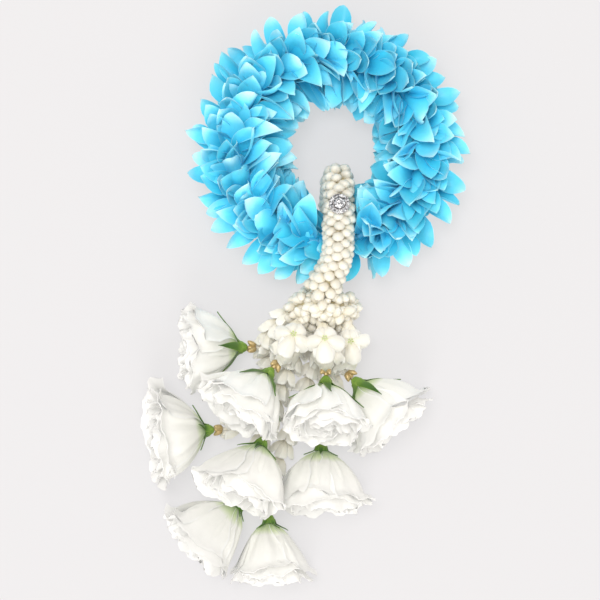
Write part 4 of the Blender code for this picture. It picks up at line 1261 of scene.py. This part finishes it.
@dataclass
class WhiteBloom:
    """A ruffled bloom: whorls of broad petals, the outer ones a funnel, the inner ones a rosette.
    Overlap is how far an edge lies outside its neighbour at the foot, and how much more at the
    rim. Sizes and reaches are the shares between which each petal's are drawn, and play is how far
    its angle differs. The seat is the receptacle, by the distance and radius of its rings."""

    flower: Flower
    presses: list[Press]
    thickness: float = 0.0004
    grid: tuple[int, int] = (15, 31)
    ruffle: float = 0.0016
    scallop: float = 0.0004
    fold: float = 0.0016
    overlap: tuple[float, float] = (0.0008, 0.0028)
    sizes: tuple[float, float] = (0.95, 1.03)
    reaches: tuple[float, float] = (0.90, 1.04)
    angle_play: float = 0.12
    seat_along: tuple[float, ...] = (0.0, 0.0012, 0.0030, 0.0050)
    seat_reach: tuple[float, ...] = (0.0030, 0.0040, 0.0042, 0.0020)
    seed: int = 700
    whorls: tuple[Whorl, ...] = (
        Whorl(3, 1.00, 66, 0.96, 0.13, 0.0),
        Whorl(4, 0.92, 56, 1.02, 0.10, 0.4),
        Whorl(4, 0.77, 56, 1.03, 0.03, 0.1),
        Whorl(4, 0.61, 56, 1.03, -0.03, 0.7),
        Whorl(3, 0.44, 70, 1.01, -0.05, 0.3),
        Whorl(3, 0.28, 74, 0.97, -0.05, 0.8),
        Whorl(2, 0.14, 110, 0.92, -0.02, 0.5),
    )

    def petals(self, whorl: Whorl, rng: np.random.Generator) -> Array:
        """Middle surfaces of one whorl. The angle spreads from the foot, the reach follows the
        funnel times the whorl's size and flares at the lip, one edge lies outside its neighbour,
        broad folds run along, and waves that grow with t to the fourth power ruffle the rim. The
        rim itself is round: it falls back with v squared.

        Args:
            whorl: The whorl's sizes.
            rng: Source of its petals' differences.

        Returns:
            Points, as petals by rows by points across by 3.
        """
        one = self.flower
        count = whorl.count
        t, v = grid(*self.grid)
        t = t ** 0.9
        phase = rng.uniform(0, TURN, (6, count, 1, 1))
        size = whorl.size * rng.uniform(*self.sizes, (count, 1, 1))
        reach = whorl.reach * rng.uniform(*self.reaches, (count, 1, 1))
        play = rng.uniform(-self.angle_play, self.angle_play, count)
        centre = TURN * (np.arange(count) + whorl.turn) / count + play
        opening = 0.55 + 0.45 * np.minimum(t / 0.45, 1) ** 0.8
        angle = centre[:, None, None] + v * math.radians(whorl.half_angle) * opening
        lip = np.clip((t - 0.72) / 0.28, 0, 1) ** 2
        pace = math.pi * (0.40 + 0.60 * whorl.size) * v
        wave = self.ruffle * (0.40 + 0.60 * whorl.size) * t**4
        fold = self.fold * np.sin(math.pi * t**0.8) * (0.2 + 0.8 * whorl.size)
        crimp = self.scallop * (0.3 + 0.7 * whorl.size) * t**8
        flare = whorl.flare * (one.spread if whorl.flare > 0 else 1.0)
        out = (one.funnel(t) * size + v * (self.overlap[0] + self.overlap[1] * t) + one.radius * flare * lip
               + wave * (np.sin(3.0 * pace + phase[0]) + 0.12 * np.sin(6.3 * pace + phase[1]))
               + fold * (np.sin(2.3 * pace + phase[2]) + 0.5 * np.sin(4.9 * pace + phase[5]))
               + crimp * np.sin(9.5 * pace + phase[4]) * np.cos(2.1 * pace + phase[3]))
        rim = t**6 * 0.0010 * np.sin(3.6 * pace + phase[3]) + crimp * np.cos(11.0 * pace + phase[1])
        fall = t - 0.05 * np.abs(whorl.flare) / 0.08 * lip
        depth = one.length * reach * fall * (1 - 0.20 * v**2 * t**2) + rim
        return one.place(one.cup_length + GAP + depth, angle, np.maximum(out, 0.0006))

    def build(self, finishes: Finishes) -> None:
        """Builds and dresses the bloom's petals, and the receptacle that they grow from.

        Args:
            finishes: The materials.
        """
        one = self.flower
        rng = np.random.default_rng(self.seed + one.number)
        shells = Shells()
        for whorl in self.whorls:
            shells.add_sheets(self.petals(whorl, rng), self.thickness,
                              one.pale + 0.5 * rng.uniform(0, 1, whorl.count))
        seat = one.cup_length + GAP + np.array(self.seat_along)
        shells.add_round(one.turned(seat, self.seat_reach, 16), 0.4, 0.1)
        shells.press(self.presses)
        finishes.dress(shells, f"bloom_{one.number}_petals", WHITE_PETAL, "white_bloom",
                       f"bloom_{one.number}")


@dataclass
class Calyx:
    """The green cup under a bloom and its narrow sepals, which lie along the petals. A sepal is
    held clear of them at its bend, its tip and just past it. Curl and tips are the ranges that each
    one's are drawn from, and play is how far its tip's angle differs."""

    flower: Flower
    presses: list[Press]
    count: int = 5
    foot: float = 0.0030
    bend: float = 0.0105
    tip: float = 0.0225
    width: float = 0.0070
    thickness: float = 0.0007
    clear: Point = (0.0020, 0.0034, 0.0038)
    curl: tuple[float, float] = (-0.0004, 0.0034)
    tips: tuple[float, float] = (0.92, 1.06)
    angle_play: float = 0.12
    stem_radius: float = 0.0018
    grid: tuple[int, int] = (10, 5)
    seed: int = 900

    def build(self, finishes: Finishes) -> None:
        """Builds and dresses the calyx. The cup is a ribbed profile turned round the axis. A sepal
        runs from the cup past the bend to its tip, held off the petals, and its half width falls
        as 1 - t to the power 1.3.

        Args:
            finishes: The materials.
        """
        one = self.flower
        rng = np.random.default_rng(self.seed + one.number)
        shells = Shells()
        t, v = grid(*self.grid)
        each = (self.count, 1, 1)
        curl = rng.uniform(*self.curl, each)
        long = rng.uniform(*self.tips, each) * one.sepals
        along = self.foot + (self.tip * long - self.foot) * t
        knots = (self.foot, one.cup_length, self.bend, self.tip, self.tip * 1.1)
        clear = (one.funnel_at(at) + off for at, off in zip(knots[2:], self.clear))
        reach = np.interp(along, knots, (0.0036, one.cup_radius + 0.0003, *clear)) + curl * t**3
        shape = np.maximum((1 - t**1.3) * (0.80 + 0.25 * np.sin(math.pi * t)), 0.03)
        half = self.width * (0.4 + 0.6 * one.sepals) / 2 * shape
        play = rng.uniform(-self.angle_play, self.angle_play, each)
        turn = even_angles(self.count)[:, None, None] + play * t
        middle = one.place(along, turn + v * half / np.maximum(reach, 0.003), reach + 0.18 * half * v**2)
        shells.add_sheets(middle, self.thickness, rng.uniform(0, 1, self.count))
        rows = np.linspace(0, 1, 7)[:, None]
        around = even_angles(20)
        wide = one.cup_radius + 0.0001 - self.stem_radius
        radius = self.stem_radius + wide * np.sin(rows * math.pi / 2) ** 0.8
        ribs = 1 + 0.05 * np.cos(5 * around) * rows
        shells.add_round(one.place(rows * one.cup_length, around, radius * ribs)[None], 0.7, 0.3)
        shells.press(self.presses)
        finishes.dress(shells, f"calyx_{one.number}_sepals", SEPAL_GREEN, "green_calyx",
                       f"calyx_{one.number}")


@dataclass
class GoldenBuds:
    """Small golden buds tied round the strand behind a calyx, on a knot of its thread."""

    flower: Flower
    count: int = 3
    bud: Egg = Egg(rows=8, point=0.34)
    width: float = 0.0038
    tips: tuple[float, float] = (0.0032, 0.0044)
    lengths: tuple[float, float] = (0.95, 1.12)
    angle_play: float = 0.25
    knot: tuple[float, ...] = (0.0010, 0.0016, 0.0014, 0.0009)
    seed: int = 400

    def build(self, finishes: Finishes) -> None:
        """Builds and dresses the buds: eggs whose feet meet at the thread and whose tips stand out
        towards the bloom.

        Args:
            finishes: The materials.
        """
        one = self.flower
        rng = np.random.default_rng(self.seed + one.number)
        angle = even_angles(self.count) + rng.uniform(-self.angle_play, self.angle_play, self.count)
        start = -GAP - one.gold_length
        foot = one.place(start + 0.0002, angle, 0.0007)
        head = one.place(-GAP - 0.0002, angle, rng.uniform(*self.tips, self.count))
        length = np.linalg.norm(head - foot, axis=1) * rng.uniform(*self.lengths, self.count)
        shells = Shells()
        shells.add_round(self.bud.rings(foot, head - foot, length, np.full(self.count, self.width)),
                         rng.uniform(0, 1, self.count))
        along = (start, start + 0.002, -GAP - 0.0008, -GAP - 0.0001)
        shells.add_round(one.turned(along, self.knot, 10), 0.5)
        finishes.dress(shells, f"gold_buds_{one.number}_painted", GILDED_BUD, "gold_bud",
                       f"gold_buds_{one.number}")


@dataclass
class CrownStrand:
    """A strand of waxy crown flowers on a thread, the first a large open one on some strands. Such
    a bell has two whorls, by their start, length and size as shares. Its open star's lobes are
    longer towards the bloom. A flower is longer than its pitch by the overlap. Reaches and lengths
    are the shares that each lobe's are drawn from, and play is how far its angle differs."""

    flower: Flower
    thread: float = 0.0011
    pitch: float = 0.0108
    radius: float = 0.0064
    flare: float = 0.30
    overlap: float = 1.08
    bell_radius: float = 0.0084
    bell_flare: float = 0.24
    bell_parts: tuple[Point, ...] = ((0.0, 0.54, 0.86), (0.34, 0.62, 1.0))
    lobes: int = 4
    reaches: tuple[float, float] = (0.90, 1.06)
    lengths: tuple[float, float] = (0.88, 1.0)
    angle_play: float = 0.15
    star_lobes: int = 5
    star_at: float = 0.30
    star_length: float = 0.0116
    star_longer: float = 0.0046
    star_half_width: float = 0.0050
    star_thickness: float = 0.0014
    knob: Egg = Egg(6, 6, 0.3)
    knob_size: tuple[float, float] = (0.0022, 0.0012)
    grid: tuple[int, int] = (9, 7)
    seed: int = 200

    def path(self) -> Route:
        """The thread's path, from inside the collar's buds to just behind the golden buds.

        Returns:
            The path.
        """
        one = self.flower
        end = np.array(one.root) - one.axis * (2 * GAP + one.gold_length)
        inner, *rest = (np.array(point) for point in one.route)
        knots = [inner + unit(rest[0] - inner) * 0.002, *rest, end - one.axis * 0.006, end]
        return Route.through(np.array(knots), 0.0005, (1.0, 0.2, 0.1))

    def lobe_grid(self) -> tuple[Array, Array, Array]:
        """Rows of a lobe, closer towards its tip as a sine, and how it thins there: the root of
        1 - 0.85 t to the eighth.

        Returns:
            Values along and across, and the share of the thickness.
        """
        t, v = grid(*self.grid)
        t = np.sin(t * math.pi / 2)
        return t, v, np.sqrt(1 - 0.85 * t**8)

    def corolla(self, path: Route, start: float, length: float, radius: float, flare: float,
                rng: np.random.Generator, shells: Shells) -> None:
        """Adds one flower: thick lobes round the thread. Along a lobe its reach rises from the neck
        as a sine to the full radius at 0.55 and opens by the flare at its end, its half width is
        the root of 1 - x to the eighth with x = (t - 0.45) / 0.56, and its edges bend inwards.

        Args:
            path: The thread's path.
            start: Where the flower starts on it.
            length: Length of the flower.
            radius: Reach of its lobes.
            flare: Share of the radius by which the ends open.
            rng: Source of its differences.
            shells: Where the lobes are added.
        """
        t, v, thin = self.lobe_grid()
        each = (self.lobes, 1, 1)
        turn = rng.uniform(0, TURN) + even_angles(self.lobes)[:, None, None]
        turn = turn + rng.uniform(-self.angle_play, self.angle_play, each)
        rise = np.sin(np.clip(t / 0.55, 0, 1) * math.pi / 2)
        full = radius * rng.uniform(*self.reaches, each)
        reach = self.thread + (full - self.thread) * rise + flare * radius * ease((t - 0.55) / 0.45)
        half = radius * 3.3 / self.lobes * np.sqrt(1 - ((t - 0.45) / 0.56) ** 8)
        along = start + length * rng.uniform(*self.lengths, each) * (0.04 + 0.96 * t)
        angle = turn + v * half / np.maximum(reach, radius * 0.6)
        off = reach - 0.30 * half * v**2 + 0.12 * half * np.cos(TURN * v)
        middle = path.place(along, off * np.cos(angle), off * np.sin(angle))
        shells.add_sheets(middle, radius * 0.26, rng.uniform(0, 1, self.lobes), thin)

    def star(self, path: Route, rng: np.random.Generator, shells: Shells) -> Shells:
        """Adds the open flower on the upper side of a bell: round lobes that spread from its crown.
        Those towards the bloom are longer and rise to lie on the bell, and the others droop down
        its sides as t squared. All fold along their middle.

        Args:
            path: The thread's path.
            rng: Source of its differences.
            shells: Where the lobes are added.

        Returns:
            Its pale green crown: five small knobs round a sixth.
        """
        at = np.array([self.star_at * path.length])
        ahead = path.directions(at)[0][0]
        side = unit(np.cross(ahead, UP))
        out = np.cross(side, ahead)
        centre = path.place(at)[0] + out * self.bell_radius * 0.95
        angle = even_angles(self.star_lobes) + rng.uniform(-self.angle_play, self.angle_play)
        spread, across = swing(angle, ahead, side), swing(angle, side, -ahead)
        t, v, thin = self.lobe_grid()
        angle = angle[:, None, None]
        longer = self.star_longer * np.cos(angle) * rng.uniform(0.9, 1.1, angle.shape)
        length = self.star_length + longer
        front = np.maximum(np.cos(angle), 0)
        taper = 0.40 + 0.60 * np.sin(np.minimum(t / 0.75, 1) * math.pi / 2)
        taper = taper * np.sqrt(1 - np.clip((t - 0.62) / 0.385, 0, 1) ** 4)
        half = (self.star_half_width + 0.0006 * front) * taper
        frill = 0.0007 * t**3 * np.sin(3.2 * math.pi * v + 5 * angle)
        drop = (0.0032 * front * ease(t / 0.5) + 0.0008 * np.sin(math.pi * t) + frill
                - (0.10 + 0.42 * (1 - front**2)) * length * t**2 - 0.75 * half * np.abs(v) ** 1.3)
        middle = (centre + spread[:, None, None] * (length * t + 0 * v)[..., None]
                  + across[:, None, None] * (half * v)[..., None] + out * drop[..., None])
        shells.add_sheets(middle, self.star_thickness, rng.uniform(0, 1, self.star_lobes), thin)
        feet = np.vstack([centre + 0.0011 * spread, centre[None]]) + out * 0.0002
        axes = np.vstack([spread * 0.5 + out, out[None]])
        sizes = np.tile(self.knob_size, (self.star_lobes + 1, 1))
        crown = Shells()
        crown.add_round(self.knob.rings(feet, axes, sizes[:, 0], sizes[:, 1]), 0.6)
        return crown

    def build(self, finishes: Finishes) -> None:
        """Builds and dresses the strand.

        Args:
            finishes: The materials.
        """
        one = self.flower
        path = self.path()
        whole = path.length
        rng = np.random.default_rng(self.seed + one.number)
        shells = Shells()
        count = max(1, round(whole / self.pitch))
        flowers = [(k * whole / count, self.overlap * whole / count, self.radius, self.flare)
                   for k in range(count)]
        if one.bell:
            flowers = [(start * whole, length * whole, size * self.bell_radius, self.bell_flare)
                       for start, length, size in self.bell_parts]
        for start, length, radius, flare in flowers:
            self.corolla(path, start, length, radius, flare, rng, shells)
        if one.bell:
            crown = self.star(path, rng, shells)
            finishes.dress(crown, f"strand_{one.number}_crown", GREEN_CROWN, "crown_flower")
        shells.add_round(path.core(0, whole, 40, self.thread, 8), 0.3, 0.2)
        shells.press([TABLE])
        finishes.dress(shells, f"strand_{one.number}_flowers", CROWN_FLOWER, "crown_flower",
                       f"strand_{one.number}")


@dataclass
class Brooch:
    """The round silver brooch on the strap, with a ring of small stones and one large one. Profiles
    are pairs of a radius and a height above the rope. Two circles of beads are given by their
    reach, bead radius and height."""

    rope: JasmineRope
    y: float = -0.0415
    stones: int = 14
    beads: tuple[Point, ...] = ((0.0066, 0.00048, 0.0020), (0.0040, 0.00040, 0.0024))
    stone_reach: float = 0.0053
    stone_radius: float = 0.00125
    plate: tuple[tuple[float, float], ...] = (
        (0.0009, -0.0050), (0.0009, 0.0), (0.0064, 0.0), (0.0067, 0.0004), (0.0067, 0.0011),
        (0.0040, 0.0013), (0.0038, 0.0009), (0.0010, 0.0009))
    large_stone: tuple[tuple[float, float], ...] = (
        (0.0006, 0.0012), (0.0036, 0.0026), (0.0036, 0.0028), (0.0029, 0.0035), (0.0019, 0.0039))

    def turned(self, centres: Array, profile: Array | tuple, corners: int) -> Array:
        """Profiles turned about the direction out of the rope, at the brooch's place on it.

        Args:
            centres: Middle of each turned shape, as offsets to the side and ahead.
            profile: Pairs of a radius and a height.
            corners: Points round.

        Returns:
            Rings, one shell for each centre.
        """
        points = self.rope.path.points
        seat = self.rope.nearest(self.y, True)
        along = unit(points[seat + 1] - points[seat - 1])
        ahead = along if along[1] > 0 else -along
        out = unit(np.cross(EAST, ahead))
        radii, heights = np.array(profile).T[:, None, :, None, None]
        middle = (points[seat] + out * (self.rope.radius + GAP) + centres[:, :1] * EAST
                  + centres[:, 1:] * ahead)
        return middle[:, None, None] + out * heights + swing(even_angles(corners), EAST, ahead) * radii

    def build(self, finishes: Finishes) -> None:
        """Builds and dresses the setting, its beads and all the stones.

        Args:
            finishes: The materials.
        """
        angle = even_angles(self.stones)
        middle = np.zeros((1, 2))
        metal = Shells()
        metal.add_round(self.turned(middle, self.plate, 40), 0.5)
        half_step = angle + math.pi / self.stones
        claw = np.stack([np.cos(half_step), np.sin(half_step)], axis=1)
        for reach, size, high in self.beads:
            bead = ((0.8 * size, 0.0008), (size, high - 0.0005), (0.8 * size, high - 0.0001),
                    (0.3 * size, high))
            metal.add_round(self.turned(claw * reach, bead, 8), 0.6)
        finishes.dress(metal, "brooch_silver", PLATED_SILVER, "silver", "brooch_setting")
        glass = Shells()
        circle = np.stack([np.cos(angle), np.sin(angle)], axis=1)
        size = self.stone_radius
        small = ((0.25 * size, 0.0009), (size, 0.0017), (size, 0.0019), (0.55 * size, 0.0024))
        glass.add_round(self.turned(circle * self.stone_reach, small, 8), 0.5)
        glass.add_round(self.turned(middle, self.large_stone, 12), 0.5)
        made = finishes.dress(glass, "brooch_stones", CUT_CRYSTAL, "crystal", "brooch_stone")
        made.data.shade_flat()


@dataclass(frozen=True)
class SoftBox:
    """A square light: its name, watts, width and place."""

    name: str
    watts: float
    width: float
    place: Point


@dataclass
class Studio:
    """The pale table, the soft light from the upper left and the camera straight above. A pixel is
    its real size in metres, and the ring's centre is given in pixels of the photograph."""

    layout: Layout
    pixel: float = 0.00065
    ring_pixel: tuple[float, float] = (328.0, 149.5)
    frame_pixels: float = 600.0
    height: float = 1.15
    subject_height: float = 0.025
    sensor_width: float = 36.0
    table_reach: float = 3.0
    table_glow: float = 0.555
    lights: tuple[SoftBox, ...] = (SoftBox("window", 46.0, 1.2, (-0.36, 0.52, 3.05)),
                                   SoftBox("fill", 40.0, 2.0, (0.1, -2.8, 2.0)))
    room: str = "#FFFBF5"
    room_strength: float = 0.84

    def camera(self) -> None:
        """Adds the camera. The lens shows one pixel as its real size at the subject's height."""
        data = bpy.data.cameras.new("overhead")
        data.sensor_width = self.sensor_width
        data.lens = self.sensor_width * (self.height - self.subject_height) / (self.frame_pixels * self.pixel)
        made = bpy.data.objects.new("overhead", data)
        half = self.frame_pixels / 2
        made.location = (float(self.layout.shift[0]) - (self.ring_pixel[0] - half) * self.pixel,
                         float(self.layout.shift[1]) - (half - self.ring_pixel[1]) * self.pixel, self.height)
        bpy.context.scene.collection.objects.link(made)
        bpy.context.scene.camera = made

    def light(self, box: SoftBox) -> None:
        """Adds a square area light that faces the garland.

        Args:
            box: The light.
        """
        data = bpy.data.lights.new(box.name, "AREA")
        data.energy = box.watts
        data.size = box.width
        made = bpy.data.objects.new(box.name, data)
        made.location = box.place
        x, y, z = unit(-np.array(box.place))
        made.rotation_euler = (math.acos(-z), 0.0, math.atan2(y, x) - math.pi / 2)
        bpy.context.scene.collection.objects.link(made)

    def table(self) -> None:
        """Adds the table, a sheet of milky acrylic lit from below. Its own light fills the shadows
        from underneath, so they stay as faint as on the pale ground of the photograph."""
        mesh = bpy.data.meshes.new("table")
        reach = self.table_reach
        mesh.from_pydata([(-reach, -reach, 0), (reach, -reach, 0), (reach, reach, 0), (-reach, reach, 0)],
                         [], [(0, 1, 2, 3)])
        acrylic, _, _ = new_material("backlit_milky_acrylic", {
            "Base Color": linear("#807D7F"), "Roughness": 0.9, "Emission Color": linear("#FFFFFF"),
            "Emission Strength": self.table_glow})
        mesh.materials.append(acrylic)
        made = bpy.data.objects.new("table", mesh)
        bpy.context.scene.collection.objects.link(made)

    def build(self) -> None:
        """Adds the table, the lights, the pale room round them and the camera."""
        self.table()
        for box in self.lights:
            self.light(box)
        world = bpy.context.scene.world or bpy.data.worlds.new("studio")
        bpy.context.scene.world = world
        world.use_nodes = True
        background = world.node_tree.nodes["Background"]
        background.inputs[0].default_value = linear(self.room)
        background.inputs[1].default_value = self.room_strength
        bpy.context.scene.view_settings.view_transform = "Standard"
        self.camera()


def main() -> None:
    """Builds and dresses every piece in order."""
    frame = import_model()
    layout = Layout.from_frame()
    finishes = Finishes(layout)
    Studio(layout).build()
    rope = JasmineRope(layout)
    rope.build(finishes)
    PetalRing(layout, rope).build(finishes)
    BudCollar().build(finishes)
    Brooch(rope).build(finishes)
    presses = presses_between(FLOWERS)
    for flower in FLOWERS:
        CrownStrand(flower).build(finishes)
        GoldenBuds(flower).build(finishes)
        Calyx(flower, presses[flower.number]).build(finishes)
        WhiteBloom(flower, presses[flower.number]).build(finishes)
    hoop = frame["nodes"]["hoop_cord"]
    hoop.data.materials.clear()
    hoop.data.materials.append(finishes.of(COTTON_CORD))


if __name__ == "__main__":
    logging.basicConfig(level=logging.INFO)
    main()
